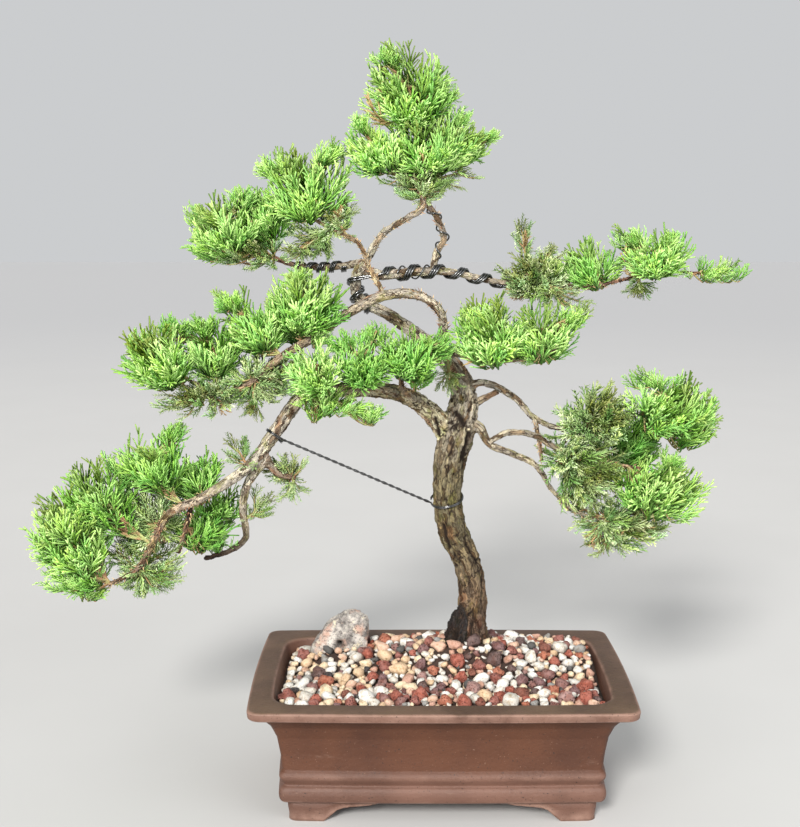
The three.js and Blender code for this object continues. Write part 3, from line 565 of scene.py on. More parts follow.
def tree_for_stones():
    """Sets a stone shape at each point, turned and sized by the point's own values."""
    sockets = {"Shapes": "Collection", "Seed": "Int", "Material": "Material"}
    tree, given, result = new_tree("seated_stones", sockets)
    points = node(tree, "GeometryNodeMeshToPoints", {"Mesh": given["Geometry"]}).outputs[0]
    turn = node(tree, "FunctionNodeEulerToRotation", {0: number(tree, "turn", "FLOAT_VECTOR")}).outputs[0]
    placed = placed_shapes(tree, given["Shapes"], given["Seed"], points, turn, number(tree, "size"))
    tree.links.new(realized(tree, placed.outputs[0], given["Material"]), result["Geometry"])
    return tree


def lay_stones(name, spots, lift, shapes, material, seed):
    """One piece of many stones, at their spots and radii, sunk a little in the gravel's level."""
    random = np.random.default_rng(seed)
    level = gravel_level(spots[:, 0], spots[:, 1])
    places = np.c_[spots[:, :2], level + lift * spots[:, 2] - STONE_DROP]
    turns = random.uniform(0, 6.283, (len(spots), 3)) * (0.12, 0.12, 1)
    source = new_piece(name + "_spots", places, [], attributes={
        "size": spots[:, 2] * 0.001, "turn": turns, "tone": random.random(len(spots))})
    values = {"Shapes": shapes, "Seed": seed, "Material": material}
    made = grown(source, stone_tree, values, name)
    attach(made, "root")
    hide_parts("gravel")


def stepped(tree, value, steps):
    """Colours picked in steps: each is a share at which it starts, and a colour."""
    ramp = node(tree, "ShaderNodeValToRGB", {0: value})
    ramp.color_ramp.interpolation = "CONSTANT"
    for index, (start, colour) in enumerate(steps):
        stop = ramp.color_ramp.elements[index] if index < 2 else ramp.color_ramp.elements.new(start)
        stop.position = start
        stop.color = colour
    return ramp.outputs[0]


def finish_grit():
    """Chalky pumice and waterworn grit, white to cream, tan and peach, with a few grey chips."""
    material, tree, shader = new_material("pumice_and_grit", Roughness=0.82, Specular_IOR_Level=0.3)
    place = node(tree, "ShaderNodeTexCoord").outputs["Object"]
    tone = read(tree, "tone").outputs["Fac"]
    colour = stepped(tree, tone, [
        (0.0, srgb(216, 213, 206)), (0.28, srgb(206, 200, 190)), (0.42, srgb(218, 198, 168)),
        (0.56, srgb(208, 180, 148)), (0.68, srgb(206, 172, 150)), (0.78, srgb(188, 148, 130)),
        (0.86, srgb(222, 220, 214)), (0.93, srgb(142, 140, 136)), (0.965, srgb(84, 82, 80))])
    mottle = grain(tree, place, 260, 4)
    colour = blend(tree, between(tree, mottle, 0.45, 0.8), colour, srgb(196, 176, 150), "MULTIPLY")
    pores = between(tree, grain(tree, place, 900, 3), 0.42, 0.3)
    colour = blend(tree, pores, colour, srgb(168, 152, 134), "MULTIPLY")
    tree.links.new(colour, shader.inputs["Base Color"])
    bump(tree, shader, grain(tree, place, 520, 5, 0.7), 0.7, 0.0012)
    return material


def finish_lava():
    """Porous lava, brick red to purple brown, pitted all over, with painted shade in its pits."""
    material, tree, shader = new_material("red_lava", Roughness=0.88, Specular_IOR_Level=0.25)
    place = node(tree, "ShaderNodeTexCoord").outputs["Object"]
    tone = read(tree, "tone").outputs["Fac"]
    colour = stepped(tree, tone, [
        (0.0, srgb(184, 114, 98)), (0.2, srgb(192, 126, 102)), (0.34, srgb(168, 114, 104)),
        (0.5, srgb(158, 120, 114)), (0.64, srgb(146, 114, 113)), (0.76, srgb(178, 144, 138)),
        (0.86, srgb(150, 100, 86)), (0.92, srgb(122, 102, 98)), (0.97, srgb(84, 80, 80))])
    cells = node(tree, "ShaderNodeTexVoronoi", {"Vector": place, "Scale": 620.0, "Randomness": 1.0})
    pits = between(tree, cells.outputs["Distance"], 0.34, 0.12)
    patch = between(tree, grain(tree, place, 210, 4), 0.38, 0.66)
    colour = blend(tree, patch, colour, srgb(220, 196, 186), "MULTIPLY")
    # Painted shade: the pits, which the bump also sinks, are darkened
    colour = blend(tree, pits, colour, srgb(110, 84, 78), "MULTIPLY")
    tree.links.new(colour, shader.inputs["Base Color"])
    rough = {0: grain(tree, place, 380, 6, 0.75), 1: pits}
    rough = node(tree, "ShaderNodeMath", rough, operation="SUBTRACT")
    bump(tree, shader, rough.outputs[0], 1.0, 0.003)
    return material


stone_tree = tree_for_stones()
grit, lava = finish_grit(), finish_lava()
chips = chip_shapes("chip", 7, 26, 1.35, 3)
cinders = cinder_shapes("cinder", 7, 0.42, 4)
pebbles = chip_shapes("pebble", 5, 13, 1.25, 5)
# The trunk, its charred stub and the rock stand in the gravel: place and radius
STANDING = [(33, 40, 14), (15, 29, 9), (ROCK_X, ROCK_Y, 18), (ROCK_X - 14, ROCK_Y - 2, 14),
            (ROCK_X + 14, ROCK_Y + 1, 14)]
big = seat_stones(11, [(6.4, 8.0, 0.1), (4.9, 6.4, 0.4)], 700, STANDING)
# Lava lies thickest on the right and round the left back
lava_share = 0.42 + 0.3 * smoothstep(big[:, 0], -20, 110) + 0.25 * smoothstep(-big[:, 0], 40, 130)
is_lava = np.random.default_rng(5).random(len(big)) < lava_share
small = seat_stones(12, [(3.8, 4.9, 0.2), (2.9, 3.9, 0.4), (2.0, 2.9, 0.4)], 9000, STANDING, big)
small_lava = np.random.default_rng(6).random(len(small)) < np.where(small[:, 2] > 3.4, 0.3, 0.14)
under = seat_stones(13, [(3.6, 5.4, 0.3), (2.6, 3.6, 0.7)], 4200, STANDING[:2])
lay_stones("gravel_lava", np.vstack([big[is_lava], small[small_lava]]), 0.16, cinders, lava, 21)
lay_stones("gravel_grit", np.vstack([big[~is_lava], small[~small_lava]]), 0.2, chips, grit, 22)
lay_stones("gravel_underlayer", under, -0.75, pebbles, grit, 23)

# Accent rock
# One weathered grey and pink stone, wedge shaped, peaked to the right, with a hollow low in its front
# face, coloured near black as painted shade. It is a fine ball drawn in to the stone's flat sides and
# roughened by noise.
# The sides: which way each faces, and how far out it lies
ROCK_SIDES = [((-0.82, 0, 0.57), 18.2), ((-1, 0, 0), 27), ((-0.49, 0, 0.87), 19.7),
              ((0.33, 0, 0.94), 28.1), ((0.99, 0, -0.08), 23.4), ((0, 0, -1), 18),
              ((0, -0.95, 0.31), 14), ((0, 0.95, 0.31), 16), ((-0.55, -0.8, 0.2), 18),
              ((0.6, -0.78, 0.15), 21), ((-0.5, 0.84, 0.2), 18), ((0.5, 0.84, 0.2), 21)]
# How sharply its sides meet
ROCK_EDGE = 16


def rock_shape(direction):
    """How far the rock's skin stands out in a direction, in millimetres."""
    flat = sum((max(direction.dot(Vector(way)), 0) / far) ** ROCK_EDGE for way, far in ROCK_SIDES)
    lump = noise.fractal(direction * 2.6 + Vector((4, 1, 7)), 0.9, 2.1, 6) * 0.05
    pits = abs(noise.noise(direction * 9)) * 0.08 + abs(noise.noise(direction * 21)) * 0.04
    return flat ** (-1 / ROCK_EDGE) * (1.06 + lump - pits - 0.7 * rock_hollow(direction))


def rock_hollow(direction):
    """1 inside the hollow low in the rock's front, 0 elsewhere."""
    if direction.y > 0:
        return 0
    return math.exp(-(((direction.x + 0.05) / 0.3) ** 4) - ((direction.z + 0.1) / 0.3) ** 4)


def finish_rock():
    """Pale weathered rock: grey, white and pink patches, dark pores and thin veins, and painted shade in its
    hollow.
    """
    material, tree, shader = new_material("weathered_rock", Roughness=0.86, Specular_IOR_Level=0.3)
    place = node(tree, "ShaderNodeTexCoord").outputs["Object"]
    patch = grain(tree, place, 80, 6, 0.66)
    colour = blend(tree, between(tree, patch, 0.36, 0.62), srgb(118, 112, 108), srgb(224, 215, 205))
    colour = blend(tree, between(tree, grain(tree, place, 75, 5), 0.52, 0.68), colour, srgb(212, 176, 158))
    cream = between(tree, grain(tree, place, 130, 5, 0.7), 0.56, 0.68)
    colour = blend(tree, cream, colour, srgb(234, 222, 196))
    vein = grain(tree, place, 190, 7, 0.75, (1, 1, 2.0))
    colour = blend(tree, between(tree, vein, 0.46, 0.36), colour, srgb(80, 74, 72))
    colour = blend(tree, between(tree, grain(tree, place, 800, 3), 0.42, 0.3), colour, srgb(80, 74, 72))
    # Painted shade: the hollow is coloured near black, as shade would make it
    hollow = read(tree, "hollow").outputs["Fac"]
    colour = blend(tree, hollow, colour, srgb(22, 18, 17))
    tree.links.new(colour, shader.inputs["Base Color"])
    bump(tree, shader, grain(tree, place, 300, 8, 0.74), 1.0, 0.004)
    return material


ball = bmesh.new()
bmesh.ops.create_icosphere(ball, subdivisions=6, radius=1)
directions = [vert.co.copy() for vert in ball.verts]
faces = [[vert.index for vert in face.verts] for face in ball.faces]
ball.free()
rock_middle = Vector((ROCK_X, ROCK_Y, ROCK_Z))
rock_points = [direction * rock_shape(direction) + rock_middle for direction in directions]
hollows = [rock_hollow(direction) for direction in directions]
rock = new_piece("accent_rock_face", rock_points, faces, [finish_rock()], {"hollow": hollows})
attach(rock, "root")
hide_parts("accent_rock")

# Trunk and branches
# Juniper wood: a fissured, flaking trunk that leans and swings back, roots and a charred stub in the
# gravel, and bare bent limbs. Thick limbs grow into one skin, and thin ones are swept on their own.
# Each limb is a row of stations from root to tip: place and radius.
LIMBS = {
    "trunk": [(33, 40, 66, 15), (33, 40, 104, 16.5), (29, 40, 126, 14.5), (30, 40, 160, 12.5),
        (25, 37, 192, 12.3), (12, 35, 222, 13.5), (7, 36, 250, 13), (9, 37, 286, 14.2),
        (15, 38, 310, 16), (21, 43, 338, 12.5), (17, 50, 360, 9.8), (-8, 57, 386, 6.8),
        (-44, 52, 413, 5.4), (-72, 46, 430, 5.3), (-74, 46, 448, 5), (-68, 46, 461, 4.8)],
    "root_left": [(26, 38, 124, 8), (8, 27, 106, 6), (-8, 18, 92, 3)],
    "root_right": [(38, 42, 120, 8), (57, 50, 104, 5.5), (68, 55, 92, 3)],
    "charred_stub": [(12, 27, 94, 12), (13, 29, 114, 11.5), (16, 31, 131, 9.5), (18, 32, 142, 8),
        (18, 33, 147, 7)],
    "left_limb": [(11, 38, 304, 11), (-10, 32, 331, 9), (-36, 21, 348, 7.2), (-75, 16, 352, 6.6),
        (-118, 16, 347, 6.6), (-142, 10, 318, 6.3), (-164, 4, 289, 5.2), (-203, -5, 263, 4.3),
        (-236, -9, 246, 3.9), (-249, -11, 222, 3.2), (-262, -11, 200, 2.8), (-289, -8, 184, 2)],
    "left_sub": [(-150, 7, 295, 4.8), (-168, 13, 271, 4.2), (-174, 18, 245, 3.6), (-172, 20, 219, 3.2),
        (-186, 18, 208, 2.9), (-208, 14, 202, 2.2)],
    "left_fork": [(-152, 7, 292, 3.9), (-141, 14, 278, 3.3), (-127, 20, 273, 2.4)],
    "left_twig": [(-215, -6, 257, 2.6), (-222, 4, 232, 2.2), (-230, 8, 209, 1.8)],
    "front_limb": [(-34, 21, 347, 4.4), (-55, 1, 356, 3.4), (-86, -20, 362, 2.5),
        (-108, -32, 370, 1.6)],
    "front_right": [(-18, 26, 340, 3.9), (-32, 2, 353, 2.9), (-35, -22, 368, 1.8)],
    "right_low": [(18, 40, 301, 7.1), (33, 33, 318, 4.6), (43, 32, 302, 3.6), (62, 35, 293, 3.2),
        (85, 40, 281, 2.9), (102, 44, 256, 2.5), (122, 46, 238, 2), (150, 48, 228, 1.5)],
    "right_mid": [(43, 32, 303, 2.9), (58, 33, 311, 2.6), (84, 39, 308, 2.7), (98, 42, 299, 2.4),
        (130, 45, 286, 1.9), (180, 46, 277, 1.2)],
    "right_high": [(19, 44, 346, 4.4), (36, 41, 355, 3.5), (64, 40, 343, 3.3), (84, 43, 323, 3),
        (107, 46, 313, 2.6), (140, 48, 314, 2), (187, 48, 330, 1.3)],
    "right_prop": [(23, 44, 330, 4), (35, 44, 338, 3.1), (51, 41, 347, 2.4)],
    "right_link": [(84, 43, 322, 2.2), (88, 42, 305, 2), (91, 42, 284, 1.6)],
    "right_front": [(4, 22, 386, 3), (18, 8, 383, 2.6), (40, -4, 380, 2.2), (74, -10, 383, 1.9),
        (96, -10, 390, 1.2)],
    "arch": [(16, 46, 354, 5.4), (4, 27, 382, 4.2), (-1, 12, 420, 4), (-19, 11, 434, 4.3),
        (-49, 12, 434, 4.7), (-80, 10, 419, 4.5), (-104, 5, 402, 3.9), (-136, 0, 383, 3.8),
        (-170, -4, 357, 3), (-193, -5, 353, 2.4), (-216, -5, 364, 1.7)],
    "thin_rise": [(-49, 12, 434, 2.4), (-62, 30, 457, 2), (-72, 36, 478, 1.9), (-94, 40, 489, 1.7),
        (-118, 44, 502, 1.4)],
    "right_limb": [(-70, 46, 457, 4.8), (-56, 44, 450, 4.8), (-25, 45, 452, 4.3), (7, 49, 452, 3.6),
        (49, 58, 443, 3), (95, 63, 439, 2.6), (143, 64, 440, 2.2), (195, 60, 451, 1.8),
        (247, 56, 449, 1.2)],
    "left_branch": [(-69, 46, 460, 3.9), (-93, 55, 456, 3), (-125, 66, 456, 2.5), (-147, 68, 463, 2.2),
        (-172, 66, 471, 1.7)],
    "crown_left": [(-67, 45, 458, 3.6), (-50, 37, 486, 2.9), (-30, 38, 499, 2.8), (-15, 43, 509, 2.7),
        (-21, 47, 530, 2.3), (-32, 48, 566, 1.7), (-28, 48, 600, 1.1)],
    "crown_loop": [(-7, 47, 452, 3.3), (-3, 47, 470, 2.9), (3, 47, 481, 2.8), (-4, 47, 500, 2.8),
        (-11, 50, 512, 2.7), (-6, 56, 540, 2.2), (6, 57, 568, 1.4)],
}
THICK = ("trunk", "root_left", "root_right", "charred_stub", "left_limb", "arch", "right_low",
         "left_sub", "right_limb", "right_high", "front_limb", "left_fork")
SKIN_STEP, SKIN_SIDES, SKIN_CELL, SKIN_SOFTENING = 3, 20, 1.45, 6
THIN_STEP, THIN_SIDES = 2.2, 10
BARK_DEPTH, SCAR_DEPTH = 0.12, 2.6
TRUNK_WOOD, LIMB_WOOD, PALE_WOOD = srgb(120, 111, 87), srgb(166, 156, 140), srgb(182, 174, 160)
# A dark brown for the lower left branch's tip and the foot of the left twig
RED_WOOD, BURNT_WOOD, DARK_BROWN_WOOD = srgb(116, 72, 60), srgb(50, 46, 46), srgb(52, 38, 31)
TWIG_WOOD, FOOT_WOOD = srgb(152, 130, 112), srgb(110, 90, 77)
# The left limb's root colour is partly its pale tan bark, partly painted light against the shadow that the
# foliage above casts on it
LIT_CREAM_WOOD, SAND_WOOD = srgb(210, 198, 166), srgb(198, 186, 170)
# Colours of each limb from its root to its tip
WOOD_COLOURS = {
    "trunk": (FOOT_WOOD, TRUNK_WOOD, TRUNK_WOOD, LIMB_WOOD, PALE_WOOD, PALE_WOOD),
    "root_left": (FOOT_WOOD, FOOT_WOOD),
    "root_right": (FOOT_WOOD, FOOT_WOOD),
    "charred_stub": (BURNT_WOOD, BURNT_WOOD),
    # Its cream root is partly painted light
    "left_limb": (LIT_CREAM_WOOD, PALE_WOOD, PALE_WOOD, TWIG_WOOD),
    "left_sub": (SAND_WOOD, LIMB_WOOD, DARK_BROWN_WOOD),
    "left_twig": (DARK_BROWN_WOOD, TWIG_WOOD),
    "left_branch": (LIMB_WOOD, RED_WOOD),
    "right_limb": (PALE_WOOD, RED_WOOD),
    "right_high": (PALE_WOOD, LIMB_WOOD),
    "right_low": (LIMB_WOOD, LIMB_WOOD),
    "arch": (PALE_WOOD, TWIG_WOOD),
    "crown_left": (PALE_WOOD, RED_WOOD),
    "crown_loop": (LIMB_WOOD, RED_WOOD),
    "thin_rise": (srgb(176, 160, 134), srgb(160, 136, 112)),
}
# Open fissures and knots on the trunk's front, sunk and darkened partly with painted shade, from one place to
# another, and how wide
SCARS = [
    ((-4, 20, 326), (-2, 19, 308), 2.6), ((13, 22, 330), (22, 24, 320), 4.0),
    ((26, 24, 312), (20, 23, 288), 3.2), ((23, 24, 292), (25, 26, 280), 2.0),
    ((22, 24, 266), (24, 26, 250), 1.2), ((2, 24, 230), (8, 24, 208), 2.0),
    ((38, 30, 199), (34, 28, 194), 2.0), ((24, 26, 212), (33, 28, 196), 1.0),
    ((38, 30, 180), (39, 30, 168), 1.1),
]


def smooth_route(route, fine=48):
    """Close points, runs and radii along the smooth curve through a limb's stations."""
    route = np.asarray(route, float)
    spots = np.vstack([2 * route[0] - route[1], route, 2 * route[-1] - route[-2]])[:, :3]
    points, runs, radii = [], [], []
    for i in range(len(route) - 1):
        p0, p1, p2, p3 = spots[i:i + 4]
        d0, d1, d2 = (max(np.linalg.norm(b - a) ** 0.5, 1e-4) for a, b in ((p0, p1), (p1, p2), (p2, p3)))
        t1 = ((p1 - p0) / d0 - (p2 - p0) / (d0 + d1) + (p2 - p1) / d1) * d1
        t2 = ((p2 - p1) / d1 - (p3 - p1) / (d1 + d2) + (p3 - p2) / d2) * d1
        w = np.linspace(0, 1, fine, endpoint=i == len(route) - 2)[:, None]
        bend = -3 * p1 + 3 * p2 - 2 * t1 - t2
        twist = 2 * p1 - 2 * p2 + t1 + t2
        points.append(p1 + t1 * w + bend * w**2 + twist * w**3)
        runs.append(t1 + 2 * bend * w + 3 * twist * w**2)
        radii.append(route[i, 3] + (route[i + 1, 3] - route[i, 3]) * w[:, 0])
    return np.vstack(points), np.vstack(runs), np.concatenate(radii)


def stations_along(route, step=None, count=None, start=0.0, end=1.0):
    """Evenly spaced stations of a route: place, run, two axes square to it, radius, distance."""
    points, runs, radii = smooth_route(route)
    length = np.concatenate([[0], np.cumsum(np.linalg.norm(np.diff(points, axis=0), axis=1))])
    count = count or max(int(round(length[-1] * (end - start) / step)), 2)
    stops = np.linspace(start, end, count + 1) * length[-1]
    place = np.stack([np.interp(stops, length, points[:, k]) for k in range(3)], 1)
    run = np.stack([np.interp(stops, length, runs[:, k]) for k in range(3)], 1)
    run /= np.linalg.norm(run, axis=1)[:, None]
    across = np.array([0.31, -0.95, 0.07])
    acrosses = []
    for along in run:
        across = across - across.dot(along) * along
        across /= np.linalg.norm(across)
        acrosses.append(across)
    across = np.array(acrosses)
    return place, run, across, np.cross(run, across), np.interp(stops, length, radii), stops


def tube(place, across, side, radius, sides, swell=None):
    """Points and faces of a tube with a rounded cap at each end."""
    angle = np.arange(sides) * 2 * np.pi / sides
    spread = np.cos(angle)[None, :, None] * across[:, None] + np.sin(angle)[None, :, None] * side[:, None]
    reach = radius[:, None] * (np.ones((1, sides)) if swell is None else swell)
    points = place[:, None] + spread * reach[:, :, None]
    run = np.cross(across, side)
    points = np.vstack([points.reshape(-1, 3), place[0] - run[0] * radius[0] * 0.4,
                        place[-1] + run[-1] * radius[-1] * 0.6])
    faces = loft_faces(len(place), sides)
    last = len(points) - 1
    top = (len(place) - 1) * sides
    for j in range(sides):
        k = (j + 1) % sides
        faces.append((last - 1, k, j))
        faces.append((last, top + j, top + k))
    return points, faces


def bark_relief(x, y, s, size, seed):
    """Height of the bark, depth of its cracks and tone of its plate, on a straightened limb."""
    sway = 3 * noise.noise(Vector((x / 8, y / 8, s / 18 + seed)))
    wide, long = 0.5 * size, 2.0 * size
    at = Vector(((x + sway) / wide, (y - sway) / wide, (s + 2 * sway) / long + 9 * seed))
    gaps, middles = noise.voronoi(at)
    rim = gaps[1] - gaps[0]
    tone = noise.noise(middles[0] * 3.7)
    open_here = smoothstep(noise.noise(Vector((x / 12, y / 12, s / 17 + 2 * seed))), -0.35, 0.25)
    crack = open_here * math.exp(-((rim / 0.1) ** 2))
    lift = (at - middles[0]).z
    flake = noise.noise(Vector((x / 2.6, y / 2.6, s / 5 + 3 * seed)))
    crumb = noise.noise(Vector((x / 1.3, y / 1.3, s / 1.6 + 5 * seed)))
    knob = noise.noise(Vector((x / 5, y / 5, s / 7 + 7 * seed)))
    height = 0.6 * tone + 0.4 * lift + 0.45 * flake + 0.4 * crumb + 0.8 * knob - 0.9 * crack
    return height, crack * smoothstep(size, 3, 9), tone


def scar_depth(point, start, end, width):
    """How far a place lies inside a fissure that runs from start to end: 1 along its middle."""
    start, run = np.array(start), np.subtract(end, start)
    share = min(max((point - start).dot(run) / run.dot(run), 0), 1)
    ragged = width * (1 + 0.8 * noise.noise(Vector(point / 2.6)))
    gap = point - start - run * share
    return math.exp(-((math.hypot(gap[0], gap[2]) / ragged) ** 2)) if abs(gap[1]) < 12 else 0


def limb_field(names, step=1.5):
    """Stations of some limbs, one a row: place, run, across and side in three columns each, then
    radius, distance along the limb, in 500s by the limb's number, and colour."""
    rows = []
    for number, name in enumerate(names):
        place, run, across, side, radius, stop = stations_along(LIMBS[name], step)
        tones = WOOD_COLOURS.get(name, (LIMB_WOOD, TWIG_WOOD))
        share = smoothstep(stop / stop[-1], 0.1, 0.95)
        shares = np.linspace(0, 1, len(tones))
        colour = np.stack([np.interp(share, shares, [tone[k] for tone in tones]) for k in range(3)], 1)
        rows.append(np.c_[place, run, across, side, radius, stop + 500 * number, colour])
    return np.vstack(rows)


def skin_of(names):
    """One closed skin round some limbs, from their tubes melted together."""
    points, faces = [], []
    for name in names:
        place, _, across, side, radius, _ = stations_along(LIMBS[name], SKIN_STEP)
        more, quads = tube(place, across, side, radius, SKIN_SIDES)
        faces += [tuple(i + len(points) for i in face) for face in quads]
        points += more.tolist()
    source = new_piece("limbs", points, faces)
    remesh = source.modifiers.new("melt", "REMESH")
    remesh.mode = "VOXEL"
    remesh.voxel_size = SKIN_CELL * 0.001
    smooth = source.modifiers.new("soften", "SMOOTH")
    smooth.iterations = SKIN_SOFTENING
    smooth.factor = 0.5
    depsgraph = bpy.context.evaluated_depsgraph_get()
    mesh = bpy.data.meshes.new_from_object(source.evaluated_get(depsgraph))
    bpy.data.objects.remove(source)
    count = len(mesh.vertices)
    flat = np.empty(count * 3, np.float32)
    mesh.vertices.foreach_get("co", flat)
    normals = np.empty(count * 3, np.float32)
    mesh.vertex_normals.foreach_get("vector", normals)
    layout = (flat.reshape(-1, 3) - LAYOUT_MIDDLE) * 1000
    return layout, normals.reshape(-1, 3), [tuple(p.vertices) for p in mesh.polygons]


def clad(points, normals, field, relief):
    """Skin points pushed out or in by their nearest limb's bark, with what the finish reads."""
    moved, grains, cracks, colours, tones = [], [], [], [], []
    for chunk in range(0, len(points), 4000):
        some = points[chunk:chunk + 4000]
        gap = np.linalg.norm(some[:, None] - field[None, :, :3], axis=2) - field[None, :, 12]
        near = field[gap.argmin(1)]
        out = some - near[:, :3]
        s = near[:, 13] + (out * near[:, 3:6]).sum(1)
        a, b = (out * near[:, 6:9]).sum(1), (out * near[:, 9:12]).sum(1)
        stretch = near[:, 12] / np.maximum(np.hypot(a, b), 0.1)
        grains.append(np.c_[a * stretch, b * stretch, s])
        colours.append(near[:, 14:17])
        for point, normal, (x, y, z), radius, red in zip(some, normals[chunk:chunk + 4000], grains[-1],
                                                         near[:, 12], near[:, 14]):
            height, crack, tone = bark_relief(x, y, z, max(radius, 3.5), 1.7)
            deep = min(sum(scar_depth(point, *scar) for scar in SCARS), 1)
            rough = 1.8 if red < BURNT_WOOD[0] * 1.2 else 1
            push = height * rough * relief * max(radius, 5) - SCAR_DEPTH * deep * (relief > 0)
            moved.append(point + normal * push)
            cracks.append(max(crack, deep))
            tones.append(1 + 0.45 * tone)
    colours = np.vstack(colours) * np.array(tones)[:, None]
    return np.array(moved), np.vstack(grains), np.array(cracks), colours


def finish_bark():
    """Fibrous bark in flat flakes, dark in its cracks and scars partly with painted shade, coloured limb by
    limb, with grey lichen.
    """
    material, tree, shader = new_material("juniper_bark", Roughness=0.88, Specular_IOR_Level=0.22)
    along = read(tree, "grain").outputs["Vector"]
    crack = read(tree, "crack").outputs["Fac"]
    colour = read(tree, "wood").outputs["Color"]
    wander = node(tree, "ShaderNodeTexNoise", {"Vector": along, "Scale": 0.16, "Detail": 4}).outputs["Color"]
    bent = node(tree, "ShaderNodeVectorMath", {0: wander, 1: (7, 7, 7), 2: along}, operation="MULTIPLY_ADD")
    bent = {0: bent.outputs[0], 1: (0.3, 0.3, 0.085)}
    flat = {"Vector": node(tree, "ShaderNodeVectorMath", bent, operation="MULTIPLY").outputs[0], "Scale": 1.0}
    cells = node(tree, "ShaderNodeTexVoronoi", flat)
    tone = node(tree, "ShaderNodeSeparateColor", {0: cells.outputs["Color"]})
    rims = node(tree, "ShaderNodeTexVoronoi", flat, feature="DISTANCE_TO_EDGE")
    colour = blend(tree, between(tree, tone.outputs[0], 0.45, 1.0), colour, srgb(232, 228, 218), "OVERLAY")
    colour = blend(tree, between(tree, tone.outputs[1], 0.5, 1.0), colour, srgb(166, 148, 134), "MULTIPLY")
    flakes = grain(tree, along, 0.42, 7, 0.7, (1, 1, 0.45))
    colour = blend(tree, between(tree, flakes, 0.5, 0.66), colour, srgb(238, 234, 224), "OVERLAY")
    colour = blend(tree, between(tree, flakes, 0.48, 0.32), colour, srgb(104, 90, 74), "MULTIPLY")
    patch = between(tree, grain(tree, along, 0.07, 4, 0.6, (1, 1, 0.5)), 0.54, 0.68)
    colour = blend(tree, patch, colour, srgb(218, 184, 170), "MULTIPLY")
    moss = between(tree, grain(tree, along, 0.11, 5, 0.65, (1, 1, 0.6)), 0.5, 0.66)
    colour = blend(tree, moss, colour, srgb(212, 218, 178), "MULTIPLY")
    split = grain(tree, along, 0.2, 4, 0.6, (1, 1, 0.3))
    split = node(tree, "ShaderNodeMath", {0: between(tree, split, 0.44, 0.6), 1: 0.1}, operation="MULTIPLY")
    seam = {"Value": rims.outputs["Distance"], "From Min": split.outputs[0], "From Max": 0.0}
    seam = node(tree, "ShaderNodeMapRange", seam)
    colour = blend(tree, seam.outputs[0], colour, srgb(84, 66, 54))
    thread = grain(tree, along, 1.2, 7, 0.75, (1, 1, 0.2))
    colour = blend(tree, between(tree, thread, 0.48, 0.34), colour, srgb(96, 80, 66), "MULTIPLY")
    speck = between(tree, grain(tree, along, 0.8, 5, 0.7), 0.56, 0.66)
    colour = blend(tree, speck, colour, srgb(206, 200, 176), "SOFT_LIGHT")
    # Cracks and scars, which are also sunk, are coloured near black: partly painted shade in the grooves,
    # partly the darker bark inside them
    colour = blend(tree, between(tree, crack, 0.15, 0.95), colour, srgb(42, 32, 25))
    tree.links.new(colour, shader.inputs["Base Color"])
    rough = node(tree, "ShaderNodeMath", {0: flakes, 1: thread}, operation="ADD")
    sunk = node(tree, "ShaderNodeMath", {0: rough.outputs[0], 1: seam.outputs[0]}, operation="SUBTRACT")
    bump(tree, shader, sunk.outputs[0], 1.0, 0.0018)
    return material


def lumpy(stop, seed):
    """How far a thin limb swells at each station and side: knots and shallow ridges."""
    rows = []
    for s in stop:
        row = []
        for angle in np.arange(THIN_SIDES) * 2 * np.pi / THIN_SIDES:
            x, y = math.cos(angle), math.sin(angle)
            knot = noise.noise(Vector((x * 0.9, y * 0.9, s / 5 + seed)))
            row.append(1 + 0.3 * knot + 0.16 * noise.noise(Vector((x * 2, y * 2, s / 2.4))))
        rows.append(row)
    return np.array(rows)


bark = finish_bark()
skin, skin_normals, bark_faces = skin_of(THICK)
clad_skin = [clad(skin, skin_normals, limb_field(THICK), BARK_DEPTH)]
start = len(skin)
for name in LIMBS:
    if name in THICK:
        continue
    place, _, across, side, radius, stop = stations_along(LIMBS[name], THIN_STEP)
    points, faces = tube(place, across, side, radius, THIN_SIDES, lumpy(stop, len(name) * 9))
    clad_skin.append(clad(points, np.zeros_like(points), limb_field([name]), 0))
    bark_faces += [tuple(i + start for i in face) for face in faces]
    start += len(points)
bark_points, grains, cracks, woods = (np.concatenate(rows) for rows in zip(*clad_skin))
wood = new_piece("bark_and_wood", bark_points, bark_faces, [bark],
                 {"grain": grains, "crack": cracks, "wood": woods})
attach(wood, "root")
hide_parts("trunk_and_branches")

# Training wires
# Black anodised aluminium, wound round limbs singly or up to three side by side, just clear of
# the bark. Each wire is swept along the turns that hold it.
WRAP_STAND, STEPS_PER_TURN, WIRE_SIDES = 0.6, 24, 8
# A strand's thickness in a bundle and the gap from one to the next, as shares of the wire's radius
BUNDLE_THICKNESS, BUNDLE_PITCH = 0.78, 1.85
# The wire's radius; then each limb, shares of its length, and turns counted from the limb's front
WRAPS = {
    "wire_trunk_right": (1.25, [("trunk", 0.885, 0.966, -2.75, 0),
                                ("right_limb", 0.066, 0.395, 0, -4.9)]),
    "wire_left_branch": (1.0, [("left_branch", 0.13, 0.56, 0, -4)]),
    "wire_loop_branch": (0.75, [("right_limb", 0.104, 0.203, 1, -0.5),
                                ("crown_loop", 0.075, 0.5, -0.5, -3.5)]),
}
# The stretch of its route at which each strand of a bundle starts
STRANDS = {"wire_trunk_right": (0, 0, 1), "wire_left_branch": (0, 0, 0), "wire_loop_branch": (0,)}


